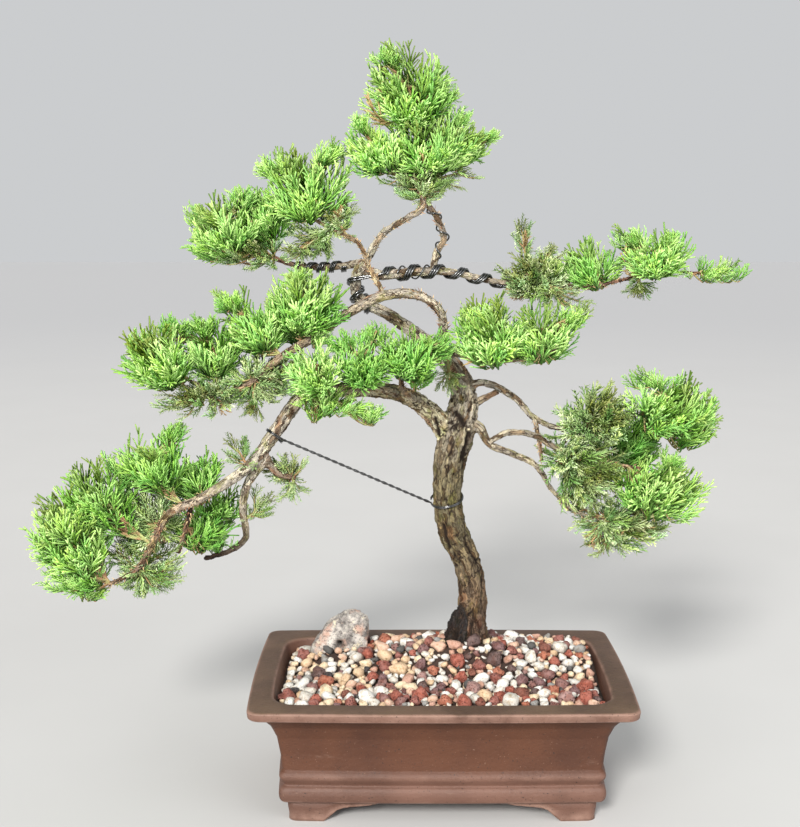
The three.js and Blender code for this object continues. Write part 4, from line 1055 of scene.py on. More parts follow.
def wound(radius, stretches, shift):
    """The line of one strand round its limbs, shifted along them from the bundle's own line."""
    line = []
    for limb, start, end, first, last in stretches:
        count = round(abs(last - first) * STEPS_PER_TURN)
        place, run, across, side, size, _ = stations_along(LIMBS[limb], count=count, start=start, end=end)
        angle = (2 * np.pi * np.linspace(first, last, count + 1))[:, None]
        reach = (size * 1.06 + radius + WRAP_STAND)[:, None]
        line.append(place + run * shift + across * np.cos(angle) * reach + side * np.sin(angle) * reach)
    return np.vstack([line[0]] + [more[1:] for more in line[1:]])


def wire_tube(line, radius, step=1.6):
    """A round wire through a line of points."""
    route = np.c_[line, np.full(len(line), radius)]
    place, _, across, side, size, _ = stations_along(route, step)
    return tube(place, across, side, size, WIRE_SIDES)


def wire_piece(name, tubes, finish):
    """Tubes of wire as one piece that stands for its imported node."""
    points, faces = [], []
    for more, quads in tubes:
        faces += [tuple(i + len(points) for i in face) for face in quads]
        points += more.tolist()
    made = new_piece(name + "_strands", points, faces, [finish])
    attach(made, "root")
    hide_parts(name)


black_wire, tree, shader = new_material("black_wire", Specular_IOR_Level=0.8, IOR=1.75, Roughness=0.24)
place = node(tree, "ShaderNodeTexCoord").outputs["Object"]
rub = between(tree, grain(tree, place, 420, 4), 0.56, 0.8)
tree.links.new(blend(tree, rub, srgb(7, 7, 8), srgb(26, 25, 26)), shader.inputs["Base Color"])
bump(tree, shader, grain(tree, place, 800, 2), 0.15, 0.0002)
for name, (radius, stretches) in WRAPS.items():
    single = len(STRANDS[name]) == 1
    thick = radius * (1 if single else BUNDLE_THICKNESS)
    tubes = []
    for k, first in enumerate(STRANDS[name]):
        shift = 0 if single else radius * BUNDLE_PITCH * (k - 0.5)
        tubes.append(wire_tube(wound(thick, stretches[first:], shift), thick))
    wire_piece(name, tubes, black_wire)

# Guy wire
# Two thin black wires twisted together, tied round the left limb and round the trunk, which pull
# the limb down. The pair closes on itself in a ring at each end.
STRAND_RADIUS, TWIST_PITCH, STEPS_PER_TWIST = 0.62, 14, 16
GUY_LIMB, GUY_LIMB_RUN, GUY_LIMB_RING = (-143, 10, 314), (-22, -6, -29), 8.8
GUY_TRUNK, GUY_TRUNK_RUN, GUY_TRUNK_RING = (6.5, 35.5, 250), (-5, -8, 28), 14.4
RING_TURN, RING_RISE, RING_STEPS = 0.97, 2.6, 40


def tie(place, run, radius, facing):
    """Points of a ring round a limb, whose end passes beside its start."""
    along = np.array(run) / np.linalg.norm(run)
    out = facing - facing.dot(along) * along
    out /= np.linalg.norm(out)
    side = np.cross(along, out)
    angle = np.linspace(0, 2 * np.pi * RING_TURN, RING_STEPS + 1)[:, None]
    rise = along * np.linspace(0, RING_RISE, RING_STEPS + 1)[:, None]
    return np.array(place) + out * radius * np.cos(angle) + side * radius * np.sin(angle) + rise


towards = np.subtract(GUY_TRUNK, GUY_LIMB) / np.linalg.norm(np.subtract(GUY_TRUNK, GUY_LIMB))
ties = [tie(GUY_LIMB, GUY_LIMB_RUN, GUY_LIMB_RING, towards),
        tie(GUY_TRUNK, GUY_TRUNK_RUN, GUY_TRUNK_RING, -towards)]
start, end = ties[0][0], ties[1][0]
twists = np.linalg.norm(end - start) / TWIST_PITCH
shares = np.linspace(0, 1, int(twists * STEPS_PER_TWIST) + 1)[:, None]
up = np.cross(towards, (0, 1, 0))
up /= np.linalg.norm(up)
beside = np.cross(towards, up)
strands = []
for half in (0, np.pi):
    turned = shares * twists * 2 * np.pi + half
    shift = STRAND_RADIUS * 1.05 * (up * np.cos(turned) + beside * np.sin(turned))
    strands.append(wire_tube(start + (end - start) * shares + shift, STRAND_RADIUS, 1.2))
for ring in ties:
    axis = np.cross(ring[RING_STEPS // 4] - ring[0], ring[RING_STEPS // 2] - ring[0])
    for rise in (-STRAND_RADIUS, STRAND_RADIUS):
        strands.append(wire_tube(ring + axis / np.linalg.norm(axis) * rise, STRAND_RADIUS, 1.4))
wire_piece("guy_wire", strands, black_wire)

# Foliage
# Adult shoots are cords clad in scale leaves, bright at their blunt tips; juvenile ones near the
# limbs carry short grey-green needles. Each spray hangs on a twig from its limb, parts into curved
# branchlets, and shoots fan out from both sides of those, all turning up towards the light.
# Kind, place on the limb, middle of the mass, and reach along X, Y and Z
SPRAYS = {
    "apex_top": ("cord", (-24, 48, 584), (-28, 44, 611), (44, 40, 40)),
    "apex_middle": ("cord", (-6, 56, 542), (-12, 46, 566), (44, 40, 37)),
    "apex_left": ("cord", (-28, 48, 552), (-58, 36, 560), (32, 28, 28)),
    "apex_right": ("cord", (2, 57, 560), (22, 60, 562), (28, 28, 22)),
    "apex_back": ("cord", (-6, 56, 545), (-14, 90, 556), (32, 28, 30)),
    "apex_low": ("needle", (-16, 45, 520), (-17, 50, 531), (36, 30, 21)),
    "upper_left_top": ("cord", (-110, 42, 498), (-116, 42, 532), (43, 34, 42)),
    "upper_left_outer": ("cord", (-170, 66, 471), (-194, 64, 492), (38, 40, 37)),
    "upper_left_middle": ("cord", (-148, 68, 464), (-152, 78, 506), (32, 32, 30)),
    "upper_left_low": ("needle", (-148, 68, 464), (-170, 58, 468), (36, 32, 17)),
    "upper_left_inner": ("needle", (-80, 38, 482), (-90, 40, 498), (19, 18, 16)),
    "upper_left_back": ("cord", (-150, 68, 465), (-176, 100, 488), (32, 26, 26)),
    "mid_left_top": ("cord", (-120, 2, 394), (-118, 6, 432), (40, 38, 35)),
    "mid_left_outer": ("cord", (-136, 0, 383), (-162, 8, 413), (32, 36, 32)),
    "mid_left_back": ("cord", (-112, 4, 398), (-130, 44, 414), (34, 28, 26)),
    "left_outer": ("cord", (-214, -5, 363), (-242, -10, 385), (36, 40, 35)),
    "left_top": ("cord", (-190, -5, 353), (-196, 10, 393), (31, 34, 31)),
    "left_low": ("needle", (-196, -5, 354), (-210, -16, 350), (46, 34, 18)),
    "left_core": ("needle", (-160, -3, 365), (-154, 12, 364), (36, 34, 24)),
    "centre_left": ("cord", (-98, -27, 366), (-104, -40, 381), (31, 34, 30)),
    "centre_low": ("cord", (-100, -28, 366), (-92, -36, 351), (40, 22, 16)),
    "centre_middle": ("cord", (-70, -10, 359), (-66, -34, 386), (29, 32, 29)),
    "centre_right": ("cord", (-35, -18, 366), (-28, -28, 391), (32, 34, 29)),
    "trunk_top": ("needle", (6, 24, 385), (7, 2, 363), (22, 18, 13)),
    "low_left_outer": ("cord", (-287, -8, 185), (-319, -14, 237), (43, 46, 45)),
    "low_left_tail": ("cord", (-286, -8, 185), (-318, -2, 197), (37, 32, 21)),
    "low_left_top": ("cord", (-250, -11, 221), (-299, -4, 268), (38, 40, 34)),
    "low_left_comb": ("cord", (-222, -7, 254), (-252, 0, 294), (42, 34, 28)),
    "low_left_back": ("cord", (-205, -5, 262), (-215, 26, 276), (32, 34, 30)),
    "low_left_inner": ("needle", (-243, -10, 236), (-262, 24, 236), (44, 34, 38)),
    "low_left_bottom": ("needle", (-262, -11, 200), (-256, 6, 188), (38, 28, 18)),
    "low_left_under": ("cord", (-222, 4, 232), (-208, 30, 228), (36, 28, 28)),
    "low_left_sprig": ("needle", (-166, 3, 286), (-176, 4, 303), (20, 16, 18)),
    "fork_sprig": ("needle", (-130, 19, 274), (-133, 25, 275), (20, 18, 26)),
    "sub_sprig": ("needle", (-173, 19, 236), (-157, 25, 248), (17, 16, 19)),
    "high_right_inner": ("needle", (85, 62, 440), (78, 56, 450), (38, 34, 25)),
    "high_right_middle": ("cord", (143, 64, 440), (138, 72, 460), (32, 34, 29)),
    "high_right_outer": ("cord", (191, 60, 450), (190, 56, 469), (38, 32, 27)),
    "high_right_tip": ("cord", (222, 58, 450), (249, 57, 455), (43, 20, 15)),
    "high_right_low": ("needle", (176, 61, 447), (178, 60, 438), (20, 15, 11)),
    "high_right_back": ("cord", (110, 63, 439), (104, 96, 452), (34, 26, 24)),
    "right_front_left": ("cord", (50, -6, 380), (40, -16, 406), (37, 38, 35)),
    "right_front_right": ("cord", (84, -10, 385), (84, -4, 406), (37, 38, 32)),
    "low_right_top": ("cord", (180, 48, 327), (204, 36, 337), (44, 40, 33)),
    "low_right_outer": ("cord", (186, 48, 329), (228, 64, 316), (30, 32, 29)),
    "low_right_inner": ("needle", (130, 48, 313), (142, 30, 328), (41, 38, 29)),
    "low_right_core": ("needle", (120, 44, 289), (134, 40, 278), (40, 40, 38)),
    "low_right_lower": ("cord", (168, 46, 279), (198, 44, 260), (46, 42, 35)),
    "low_right_bottom": ("needle", (148, 48, 229), (168, 52, 222), (38, 32, 28)),
    "low_right_back": ("cord", (140, 46, 284), (180, 92, 296), (40, 28, 36)),
}
# Further lobes that stand out of a spray's mass: middle and reach
LOBES = {
    "apex_top": [((-50, 44, 640), (18, 16, 14)), ((-22, 44, 590), (30, 24, 16)),
                 ((7, 46, 608), (15, 16, 16))],
    "apex_middle": [((18, 52, 587), (16, 14, 12))],
    "apex_left": [((-68, 36, 583), (12, 13, 12))],
    "apex_right": [((40, 58, 571), (15, 12, 7))],
    "apex_low": [((-42, 46, 538), (20, 18, 15)), ((16, 52, 538), (22, 18, 15))],
    "upper_left_top": [((-150, 42, 545), (18, 18, 15)), ((-97, 42, 558), (18, 18, 18))],
    "upper_left_outer": [((-219, 64, 502), (16, 16, 14)), ((-172, 70, 523), (18, 18, 16))],
    "upper_left_inner": [((-112, 45, 480), (32, 22, 20)), ((-80, 40, 506), (11, 12, 11)),
                         ((-128, 46, 470), (20, 18, 12))],
    "left_outer": [((-257, -5, 401), (17, 16, 15))],
    "left_top": [((-204, 5, 412), (20, 18, 15)), ((-233, 0, 410), (17, 16, 14))],
    "left_core": [((-186, 4, 352), (24, 24, 17)), ((-128, 4, 374), (20, 20, 18)),
                  ((-160, -5, 341), (26, 18, 11))],
    "mid_left_top": [((-106, 0, 404), (20, 18, 15)), ((-122, 6, 452), (22, 16, 13))],
    "mid_left_outer": [((-182, 5, 434), (18, 16, 15))],
    "centre_left": [((-108, -22, 344), (17, 15, 15))],
    "centre_middle": [((-55, -20, 407), (24, 18, 14)), ((-84, -26, 402), (20, 18, 13))],
    "centre_right": [((-1, -25, 398), (17, 18, 17)), ((-22, -18, 368), (24, 18, 13))],
    "centre_low": [((-54, -28, 338), (11, 12, 11))],
    "right_front_left": [((28, -16, 424), (20, 16, 17))],
    "right_front_right": [((112, -4, 419), (18, 18, 16))],
    "low_right_top": [((186, 38, 363), (31, 20, 15))],
    "low_right_outer": [((238, 56, 330), (15, 16, 13))],
    "low_right_lower": [((208, 46, 286), (18, 18, 14)), ((224, 44, 260), (14, 14, 20))],
    "low_right_bottom": [((128, 50, 240), (24, 20, 21)), ((142, 50, 206), (16, 16, 12)),
                         ((196, 48, 222), (18, 14, 8))],
    "low_right_core": [((97, 44, 292), (15, 16, 22))],
    "low_right_inner": [((108, 40, 304), (17, 17, 19))],
    "low_left_comb": [((-228, 4, 318), (14, 14, 11))],
    "low_left_bottom": [((-254, 4, 208), (40, 20, 18)), ((-284, 6, 212), (20, 18, 20))],
    "low_left_under": [((-196, 28, 250), (28, 24, 20)), ((-196, 20, 213), (26, 18, 10))],
    "low_left_tail": [((-306, -2, 177), (26, 20, 10))],
    "fork_sprig": [((-146, 22, 284), (16, 14, 16))],
    "high_right_outer": [((165, 58, 485), (22, 18, 15)), ((204, 56, 480), (16, 14, 10))],
    "high_right_inner": [((72, 56, 487), (12, 13, 18)), ((98, 56, 468), (18, 16, 12)),
                         ((112, 42, 430), (34, 22, 15))],
}
# The noise module starts from the clock unless it is given a seed
noise.seed_set(11)
TWIG_SAG, FULLNESS = 2, 1.035
LINE_POINTS, LINE_STEPS = 8, np.linspace(0, 1, 8)[:, None]
GOLDEN_ANGLE = 2.39996
BRANCHLETS_PER_AREA = {"cord": 0.0070, "needle": 0.0092}
SHOOT_LENGTH = {"cord": 38, "needle": 21}
# The point of a branchlet's line where its shoots start, and the share of low branchlets gone dry
FIRST_SHOOT = {"cord": 3, "needle": 1}
DRY_SHARE = {"cord": 0.02, "needle": 0.05}
NEEDLES, NEEDLE_TWIG, NEEDLE_WIDTH = 14, 20, 0.84
# Sprays that lie in shade and are darkened with painted shade, and how much of the lighter random tone they
# keep
SHADED_SPRAYS = {"centre_middle": 0.25, "centre_right": 0.3, "low_left_under": 0.3, "low_left_back": 0.4,
              "low_left_top": 0.5, "low_left_comb": 0.5, "high_right_outer": 0.6, "high_right_middle": 0.6,
              "low_right_top": 0.6, "low_right_back": 0.3, "left_top": 0.6}


def strand(mesh, start, heading, lift, length, thick, rings, ages):
    """A three-sided cord of close scale leaves, bent towards its lift, with a blunt tip. Its ages
    run from 0 at a shoot's foot to 1 at its tip."""
    along = mesh.verts.layers.float["along"]
    start, heading, lift = Vector(start), Vector(heading).normalized(), Vector(lift)
    side = Vector((0.8, 0.6, 0))
    before = None
    for i in range(rings):
        t = i / (rings - 1)
        middle = start + heading * length * t + lift * length * t * t
        run = (heading + lift * 2 * t).normalized()
        first = run.cross(side).normalized()
        second = run.cross(first)
        ring = []
        for k in range(3):
            angle = math.radians(120 * k)
            spoke = first * math.cos(angle) + second * math.sin(angle)
            vert = mesh.verts.new(middle + spoke * thick * (1 - 0.12 * t))
            vert[along] = ages[0] + (ages[1] - ages[0]) * t
            ring.append(vert)
        if before is None:
            mesh.faces.new((ring[2], ring[1], ring[0]))
        else:
            for k in range(3):
                n = (k + 1) % 3
                mesh.faces.new((before[k], before[n], ring[n], ring[k]))
        before = ring
    mesh.faces.new(before)


def cord_shoot(random, forks, length=35, thick=0.84):
    """A cord that leans out and curls back towards X, with short forks by turns left and right."""
    mesh = bmesh.new()
    mesh.verts.layers.float.new("along")
    curl = Vector((random.uniform(0.2, 0.55), random.uniform(-0.2, 0.2), 0))
    heading = (Vector((0, 0, 1)) - curl * 0.6).normalized()
    strand(mesh, (0, 0, 0), heading, curl, length, thick, 4, (0, 1))
    for i in range(forks):
        t = 0.06 + 0.84 * (i + random.uniform(0.1, 0.9)) / forks
        start = heading * length * t + curl * length * t * t
        way = 1 if i % 2 else -1
        run = heading + curl * 2 * t
        aside = run + Vector((random.uniform(-0.3, 0.35), way * random.uniform(0.55, 0.85), 0))
        lift = curl * 0.4 + Vector((0, -way * random.uniform(0.1, 0.3), random.uniform(0.0, 0.15)))
        reach = length * (0.62 - 0.44 * t) * random.uniform(0.75, 1.1)
        strand(mesh, start, aside, lift, reach, thick * 0.92, 2, (t, 1))
    return mesh


def needle_shoot(random):
    """A thin green twig with needles in threes that stand off it, shorter towards its end."""
    mesh = bmesh.new()
    along = mesh.verts.layers.float.new("along")
    curl = Vector((random.uniform(0.05, 0.25), random.uniform(-0.1, 0.1), 0))
    strand(mesh, (0, 0, 0), (0, 0, 1), curl, 21, 0.55, 2, (0, 0.6))
    for i in range(NEEDLES):
        t = 0.04 + 0.96 * i / (NEEDLES - 1)
        base = Vector((0, 0, NEEDLE_TWIG * t)) + curl * NEEDLE_TWIG * t * t
        angle = i * 2.2 + random.uniform(-0.3, 0.3)
        out = Vector((math.cos(angle), math.sin(angle), random.uniform(0.6, 1.4))).normalized()
        side = out.cross(Vector((0, 0, 1))).normalized() * NEEDLE_WIDTH
        length = 7.8 - 2.2 * t
        corners = [base + side, base - side, base + out.cross(side) * 0.9 + out * 1.4, base + out * length]
        verts = [mesh.verts.new(corner) for corner in corners]
        for vert, value in zip(verts, (0.2, 0.2, 0.3, 1)):
            vert[along] = value
        for face in ((0, 1, 3), (1, 2, 3), (2, 0, 3), (0, 2, 1)):
            mesh.faces.new([verts[k] for k in face])
    return mesh


def shoot_shapes(kind, count, seed):
    """A few differing shoots for a tree to set along twigs."""
    random = np.random.default_rng(seed)
    shapes = bpy.data.collections.new(kind + "_shoots")
    for index in range(count):
        if kind == "cord":
            mesh = cord_shoot(random, 5 + index % 3)
        elif index % 2:
            mesh = cord_shoot(random, 6, 23, 0.68)
        else:
            mesh = needle_shoot(random)
        bmesh.ops.recalc_face_normals(mesh, faces=mesh.faces)
        bmesh.ops.scale(mesh, vec=(0.001, 0.001, 0.001), verts=mesh.verts)
        keep_shape(shapes, mesh)
    return shapes


def tree_for_foliage():
    """Twigs swept along branchlets, and a shoot set at each leafy point, towards its own heading."""
    sockets = {"Shoots": "Collection", "Shoot Size": "Float", "Twig Size": "Float", "Seed": "Int",
               "Twig": "Material", "Leaf": "Material"}
    tree, given, result = new_tree("shoots_on_twigs", sockets)
    vigour, girth = number(tree, "vigour"), number(tree, "girth")
    lines = node(tree, "GeometryNodeMeshToCurve", {0: given["Geometry"]}).outputs[0]
    ring = node(tree, "GeometryNodeCurvePrimitiveCircle", {"Resolution": 3, "Radius": 0.001}).outputs[0]
    girth = node(tree, "ShaderNodeMath", {0: girth, 1: given["Twig Size"]}, operation="MULTIPLY")
    swept = {"Curve": lines, "Profile Curve": ring, "Scale": girth.outputs[0], "Fill Caps": True}
    twigs = node(tree, "GeometryNodeCurveToMesh", swept)
    twigs = node(tree, "GeometryNodeSetMaterial", {"Geometry": twigs.outputs[0], "Material": given["Twig"]})
    spots = node(tree, "GeometryNodeCurveToPoints", {"Curve": lines}, mode="EVALUATED").outputs[0]
    bare = node(tree, "ShaderNodeMath", {0: vigour, 1: 0.01}, operation="LESS_THAN").outputs[0]
    leafy = node(tree, "GeometryNodeDeleteGeometry", {"Geometry": spots, "Selection": bare})
    axes = {0: number(tree, "heading", "FLOAT_VECTOR"), 1: number(tree, "upward", "FLOAT_VECTOR")}
    facing = node(tree, "FunctionNodeAxesToRotation", axes, primary_axis="Z", secondary_axis="X")
    size = node(tree, "ShaderNodeMath", {0: vigour, 1: given["Shoot Size"]}, operation="MULTIPLY")
    placed = placed_shapes(tree, given["Shoots"], given["Seed"], leafy.outputs[0], facing.outputs[0],
                           size.outputs[0])
    tint = node(tree, "FunctionNodeRandomValue", {2: 0.0, 3: 1.0, "Seed": given["Seed"]}, data_type="FLOAT")
    tint = {"Geometry": placed.outputs[0], "Name": "tint", "Value": tint.outputs[1]}
    tinted = node(tree, "GeometryNodeStoreNamedAttribute", tint, domain="INSTANCE")
    both = tree.nodes.new("GeometryNodeJoinGeometry")
    tree.links.new(realized(tree, tinted.outputs[0], given["Leaf"]), both.inputs[0])
    tree.links.new(twigs.outputs[0], both.inputs[0])
    tree.links.new(both.outputs[0], result["Geometry"])
    return tree


def finish_leaf(name, deep, body, tip, dry, gloss):
    """Green that goes from a deep base to a pale tip, with painted shade and some browning inside the mass
    and painted shade on sprays that lie in shade, and dry brown shoots.
    """
    material, tree, shader = new_material(name, Roughness=gloss, Specular_IOR_Level=0.35)
    place = node(tree, "ShaderNodeTexCoord").outputs["Object"]
    along, tint = read(tree, "along").outputs["Fac"], read(tree, "tint").outputs["Fac"]
    colour = blend(tree, between(tree, along, 0.0, 0.55), deep, body)
    colour = blend(tree, between(tree, along, 0.75, 1.0), colour, tip)
    colour = blend(tree, between(tree, tint, 0.5, 1.0), colour, srgb(240, 250, 196), "MULTIPLY")
    colour = blend(tree, between(tree, tint, 0.4, 0.0), colour, srgb(206, 234, 212), "MULTIPLY")
    # Painted shade: a random tone from one branchlet to the next, held darker in the sprays that lie in shade
    hue = read(tree, "hue").outputs["Fac"]
    colour = blend(tree, between(tree, hue, 0.6, 0.0), colour, srgb(186, 214, 172), "MULTIPLY")
    # Painted shade, with some browning of old shoots: darker and duller towards the heart of the mass
    inside = read(tree, "inside").outputs["Fac"]
    colour = blend(tree, inside, colour, srgb(166, 160, 116), "MULTIPLY")
    colour = blend(tree, read(tree, "dry").outputs["Fac"], colour, dry)
    scales = grain(tree, place, 900, 2)
    colour = blend(tree, between(tree, scales, 0.55, 0.3), colour, srgb(196, 208, 184), "MULTIPLY")
    tree.links.new(colour, shader.inputs["Base Color"])
    bump(tree, shader, scales, 0.5, 0.0004)
    return material


def finish_twig():
    """Young bark: red brown with flaking green."""
    material, tree, shader = new_material("young_bark", Roughness=0.8, Specular_IOR_Level=0.25)
    place = node(tree, "ShaderNodeTexCoord").outputs["Object"]
    patch = grain(tree, place, 160, 4)
    colour = blend(tree, between(tree, patch, 0.4, 0.6), srgb(164, 128, 94), srgb(164, 168, 108))
    tree.links.new(colour, shader.inputs["Base Color"])
    bump(tree, shader, grain(tree, place, 700, 3), 0.6, 0.0006)
    return material


def towards_light(away, kind):
    """Headings of shoots that stand away from the heart of their spray: outward and curving up."""
    level = 0.72 if kind == "cord" else 1.0
    up = 0.62 + 0.4 * np.maximum(away[..., 2], 0) if kind == "cord" else 0.3 + 0.7 * away[..., 2]
    heading = np.stack([away[..., 0] * level, away[..., 1] * level, up], -1)
    return heading / np.linalg.norm(heading, axis=-1)[..., None]


def branchlets(kind, root, middle, reach, seed, bright):
    """Lines of one lobe: its twig and the branchlets from it, with what the tree and finish read."""
    root, middle, reach = (np.array(v, float) for v in (root, middle, reach))
    reach *= FULLNESS
    random = np.random.default_rng(seed)
    grow = (middle - root) / np.linalg.norm(middle - root)
    rise = np.array([0, 0, 1.0])
    focus = middle - grow * 0.7 / np.linalg.norm(grow / reach)
    bend = (root + middle) / 2 - (0, 0, TWIG_SAG)
    t, none, ones = LINE_STEPS, np.zeros(LINE_POINTS), np.ones((LINE_POINTS, 3))
    twig = (1 - t) ** 2 * root + 2 * t * (1 - t) * bend + t**2 * middle
    lines = [{"place": twig, "girth": np.linspace(1.9, 0.9, LINE_POINTS), "vigour": none,
              "heading": ones, "upward": ones, "inside": none, "dry": none, "hue": none}]
    area = reach[0] * reach[1] + reach[1] * reach[2] + reach[0] * reach[2]
    count = max(int(BRANCHLETS_PER_AREA[kind] * area), 9)
    length = SHOOT_LENGTH[kind]
    shoot = length * np.clip(reach.min() / 28, 0.55, 1.05)
    for i in range(count):
        z = 1 - 2 * (i + 0.5) / count
        angle = i * GOLDEN_ANGLE + seed
        flat = math.sqrt(1 - z * z)
        way = np.array([flat * math.cos(angle), flat * math.sin(angle), z])
        way += random.normal(0, 0.14, 3)
        way /= np.linalg.norm(way)
        edge = 0.98 + 0.32 * noise.noise(Vector(way * 2.4) + Vector((seed * 3.1, 0, 0)))
        full = (0.4 + 0.6 * random.random() ** 0.35) * edge
        end = middle + way * reach * full
        away = (end - focus) / np.linalg.norm(end - focus)
        out = towards_light(away, kind)
        tip = end - out * shoot * 0.85
        while np.linalg.norm((tip - middle) / reach) > 0.9:
            tip += (middle - tip) * 0.1
        stop = np.clip(0.35 + 0.45 * way.dot(grow) + random.normal(0, 0.12), 0.08, 0.95)
        base = (1 - stop) ** 2 * root + 2 * stop * (1 - stop) * bend + stop**2 * middle
        span = np.linalg.norm(tip - base)
        first = (tip - base) * 0.9 - rise * span * 0.25 + random.normal(0, 0.12, 3) * span
        line = ((2 * t**3 - 3 * t**2 + 1) * base + (t**3 - 2 * t**2 + t) * first
                + (3 * t**2 - 2 * t**3) * tip + (t**3 - t**2) * out * span * 0.8)
        run = np.gradient(line, axis=0)
        run /= np.linalg.norm(run, axis=1)[:, None]
        away = line - focus
        away /= np.linalg.norm(away, axis=1)[:, None] + 0.001
        fan = np.cross(out, random.normal(0, 1, 3) + rise * 0.6)
        fan /= np.linalg.norm(fan)
        turn = (np.array([-1, 1] * (LINE_POINTS // 2)) * np.linspace(0.7, 0.3, LINE_POINTS))[:, None]
        turn[-1] = 0
        lock = np.array([noise.noise_vector(Vector(p * 0.04) + Vector((seed, 0, 0))) for p in line]) * 0.75
        heading = run * 0.35 + towards_light(away, kind) * 0.8 + fan * turn + lock
        heading /= np.linalg.norm(heading, axis=1)[:, None]
        size = random.uniform(0.75, 1.1, LINE_POINTS) * shoot / length
        for k in range(LINE_POINTS):
            spot = line[k] - middle
            while size[k] > 0.4 and np.linalg.norm((spot + heading[k] * length * size[k]) / reach) > edge:
                size[k] *= 0.92
        size[:FIRST_SHOOT[kind]] = 0
        depth = np.linalg.norm((line - middle) / reach, axis=1)
        dry = float(way[2] < 0.1 and random.random() < DRY_SHARE[kind])
        upward = rise * 0.6 + random.normal(0, 0.6, (LINE_POINTS, 3))
        # The inside value darkens the shoots towards the heart of the spray: painted shade, with some
        # browning
        lines.append({"place": line, "girth": np.linspace(0.9, 0.5, LINE_POINTS), "vigour": size,
                      "heading": heading, "upward": upward, "inside": 1 - smoothstep(depth, 0.1, 0.7),
                      "dry": none + dry, "hue": none + random.random() * bright})
    return lines


def spray_piece(name, seed, tree, shapes, finishes):
    """One spray as one mesh, grown along its lines by the tree."""
    kind, root, middle, reach = SPRAYS[name]
    # Sprays that lie in shade keep less of the lighter random tone: painted shade
    bright = SHADED_SPRAYS.get(name, 1.0)
    lines = branchlets(kind, root, middle, reach, seed, bright)
    for index, (place, size) in enumerate(LOBES.get(name, [])):
        lines += branchlets(kind, middle, place, size, 100 + seed * 3 + index, bright)
    points = np.concatenate([line.pop("place") for line in lines])
    values = {key: np.concatenate([line[key] for line in lines]).tolist() for key in lines[0]}
    edges = [(i, i + 1) for i in range(len(points) - 1) if (i + 1) % LINE_POINTS]
    source = new_piece(name + "_lines", points.tolist(), [], attributes=values, edges=edges)
    given = {"Shoots": shapes[kind], "Shoot Size": 1.0, "Twig Size": 1.0, "Seed": seed,
             "Twig": finishes["twig"], "Leaf": finishes[kind]}
    made = grown(source, tree, given, name + "_foliage")
    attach(made, "root")
    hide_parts("spray_" + name)


foliage_finishes = {
    "cord": finish_leaf("scale_leaves", srgb(88, 136, 58), srgb(186, 228, 130), srgb(208, 238, 152),
                        srgb(190, 160, 112), 0.46),
    "needle": finish_leaf("needle_leaves", srgb(126, 146, 90), srgb(204, 222, 162), srgb(234, 240, 202),
                          srgb(196, 160, 116), 0.5),
    "twig": finish_twig(),
}
foliage_shapes = {"cord": shoot_shapes("cord", 8, 31), "needle": shoot_shapes("needle", 6, 32)}
foliage_tree = tree_for_foliage()
for seed, name in enumerate(SPRAYS):
    spray_piece(name, seed, foliage_tree, foliage_shapes, foliage_finishes)

# Old leaves
# Dead brown awl leaves that the thin limbs and the bare ends of branches still carry, a few
# millimetres long, each held by its own short stalk in the bark.
# Limb, the shares of its length they stand on, and how far apart
BARE_ENDS = [("thin_rise", 0.05, 1.0, 0.9), ("arch", 0.16, 0.36, 0.8), ("crown_left", 0.08, 0.6, 1.2),
             ("crown_loop", 0.1, 0.7, 1.6), ("left_branch", 0.5, 1.0, 1.3), ("right_link", 0.0, 1.0, 1.0),
             ("left_twig", 0.1, 1.0, 0.9), ("left_limb", 0.68, 1.0, 0.8), ("left_fork", 0.4, 1.0, 1.2),
             ("front_limb", 0.2, 1.0, 1.3), ("front_right", 0.3, 1.0, 1.3), ("right_low", 0.72, 1.0, 0.9),
             ("right_mid", 0.5, 1.0, 1.2), ("right_high", 0.6, 1.0, 1.2), ("right_limb", 0.5, 1.0, 1.6),
             ("right_front", 0.2, 1.0, 1.4)]


def old_leaf_shapes(count, seed):
    """A few differing dead awl leaves, each a thin keeled blade bent to one side."""
    random = np.random.default_rng(seed)
    shapes = bpy.data.collections.new("old_leaf_shapes")
    for _ in range(count):
        bend, length = random.uniform(-0.9, 0.9), random.uniform(2.6, 3.8)
        mesh = bmesh.new()
        corners = [(-0.6, 0, -0.4), (0.6, 0, -0.4), (0, 0.5, 0.2), (bend, 0.6, length)]
        verts = [mesh.verts.new(Vector(corner) * 0.001) for corner in corners]
        for face in ((0, 1, 3), (1, 2, 3), (2, 0, 3), (0, 2, 1)):
            mesh.faces.new([verts[k] for k in face])
        bmesh.ops.recalc_face_normals(mesh, faces=mesh.faces)
        keep_shape(shapes, mesh, smooth=False)
    return shapes


def finish_old_leaf():
    """Dead leaves, tan to red brown."""
    material, tree, shader = new_material("old_leaves", Roughness=0.8, Specular_IOR_Level=0.25)
    tint = read(tree, "tint").outputs["Fac"]
    colour = blend(tree, between(tree, tint, 0.2, 0.9), srgb(200, 172, 128), srgb(150, 104, 78))
    tree.links.new(colour, shader.inputs["Base Color"])
    return material


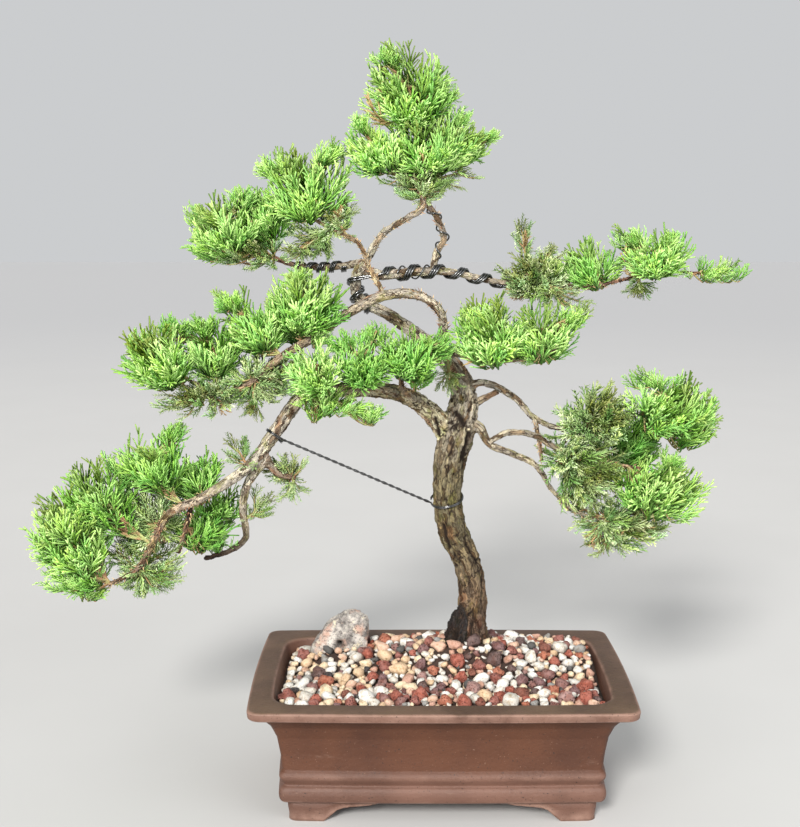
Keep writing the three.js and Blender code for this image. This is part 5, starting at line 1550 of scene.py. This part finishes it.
random = np.random.default_rng(77)
stalks = []
for name, start, end, step in BARE_ENDS:
    place, run, across, side, radius, _ = stations_along(LIMBS[name], step, start=start, end=end)
    angle = random.uniform(0, 2 * np.pi, len(place))[:, None]
    out = across * np.cos(angle) + side * np.sin(angle)
    lean = out + run * random.uniform(0.2, 1.4, (len(place), 1))
    foot = place + out * (radius * 0.9)[:, None]
    for spot, way in zip(foot, lean):
        stalks.append({"place": np.array([spot - way * 0.4, spot + way * 0.3]), "girth": np.full(2, 0.35),
                       "vigour": np.array([0, random.uniform(0.6, 1.15)]), "heading": np.array([way, way]),
                       "upward": random.normal(0, 1, (2, 3))})
points = np.concatenate([stalk.pop("place") for stalk in stalks])
values = {key: np.concatenate([stalk[key] for stalk in stalks]).tolist() for key in stalks[0]}
source = new_piece("old_leaf_stalks", points.tolist(), [], attributes=values,
                   edges=[(i, i + 1) for i in range(0, len(points), 2)])
given = {"Shoots": old_leaf_shapes(5, 9), "Shoot Size": 1.0, "Twig Size": 1.0, "Seed": 4,
         "Twig": bark, "Leaf": finish_old_leaf()}
old_leaves = grown(source, foliage_tree, given, "old_awl_leaves")
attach(old_leaves, "root")
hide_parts("trunk_and_branches")

# Floor, lights and surroundings
# A pale floor without edges, one broad soft light from the upper left in front, weaker ones from
# the right and from low on the left, and even pale surroundings.
floor_finish, tree, shader = new_material("pale_floor", Roughness=0.85, Specular_IOR_Level=0.2)
place = node(tree, "ShaderNodeTexCoord").outputs["Object"]
away = node(tree, "ShaderNodeVectorMath", {0: place}, operation="LENGTH").outputs[1]
colour = blend(tree, grain(tree, place, 3, 3), srgb(190, 189, 187), srgb(198, 197, 195))
colour = blend(tree, between(tree, away, 0.8, 5.0), colour, srgb(180, 180, 181))
tree.links.new(colour, shader.inputs["Base Color"])
floor_points = [(-9000, -9000, 0), (9000, -9000, 0), (9000, 9000, 0), (-9000, 9000, 0)]
floor = new_piece("floor", floor_points, [(0, 1, 2, 3)], [floor_finish])


def soft_light(name, kind, place, aim, size, power, colour):
    """A soft light that faces the point it is aimed at, both in layout millimetres."""
    data = bpy.data.lights.new(name, kind)
    if kind == "SUN":
        data.angle = size
    else:
        data.size = size
    data.energy = power
    data.color = colour
    light = bpy.data.objects.new(name, data)
    light.location = metres(place)
    light.rotation_euler = Vector(np.subtract(place, aim)).to_track_quat("Z", "Y").to_euler()
    bpy.context.scene.collection.objects.link(light)


soft_light("key", "SUN", (-460, -1550, 1250), (0, 0, 300), 0.25, 3.9, (1.0, 0.985, 0.96))
soft_light("fill", "AREA", (1400, -1300, 900), (0, 0, 250), 1.6, 20, (0.96, 0.98, 1.0))
soft_light("low_fill", "SUN", (-1600, -2000, 560), (-60, 0, 330), 0.7, 1.7, (1.0, 0.985, 0.96))
world = bpy.data.worlds.new("studio")
world.use_nodes = True
world.node_tree.nodes["Background"].inputs["Color"].default_value = srgb(232, 234, 236)
world.node_tree.nodes["Background"].inputs["Strength"].default_value = 0.74
bpy.context.scene.world = world
bpy.context.scene.view_settings.view_transform = "Standard"
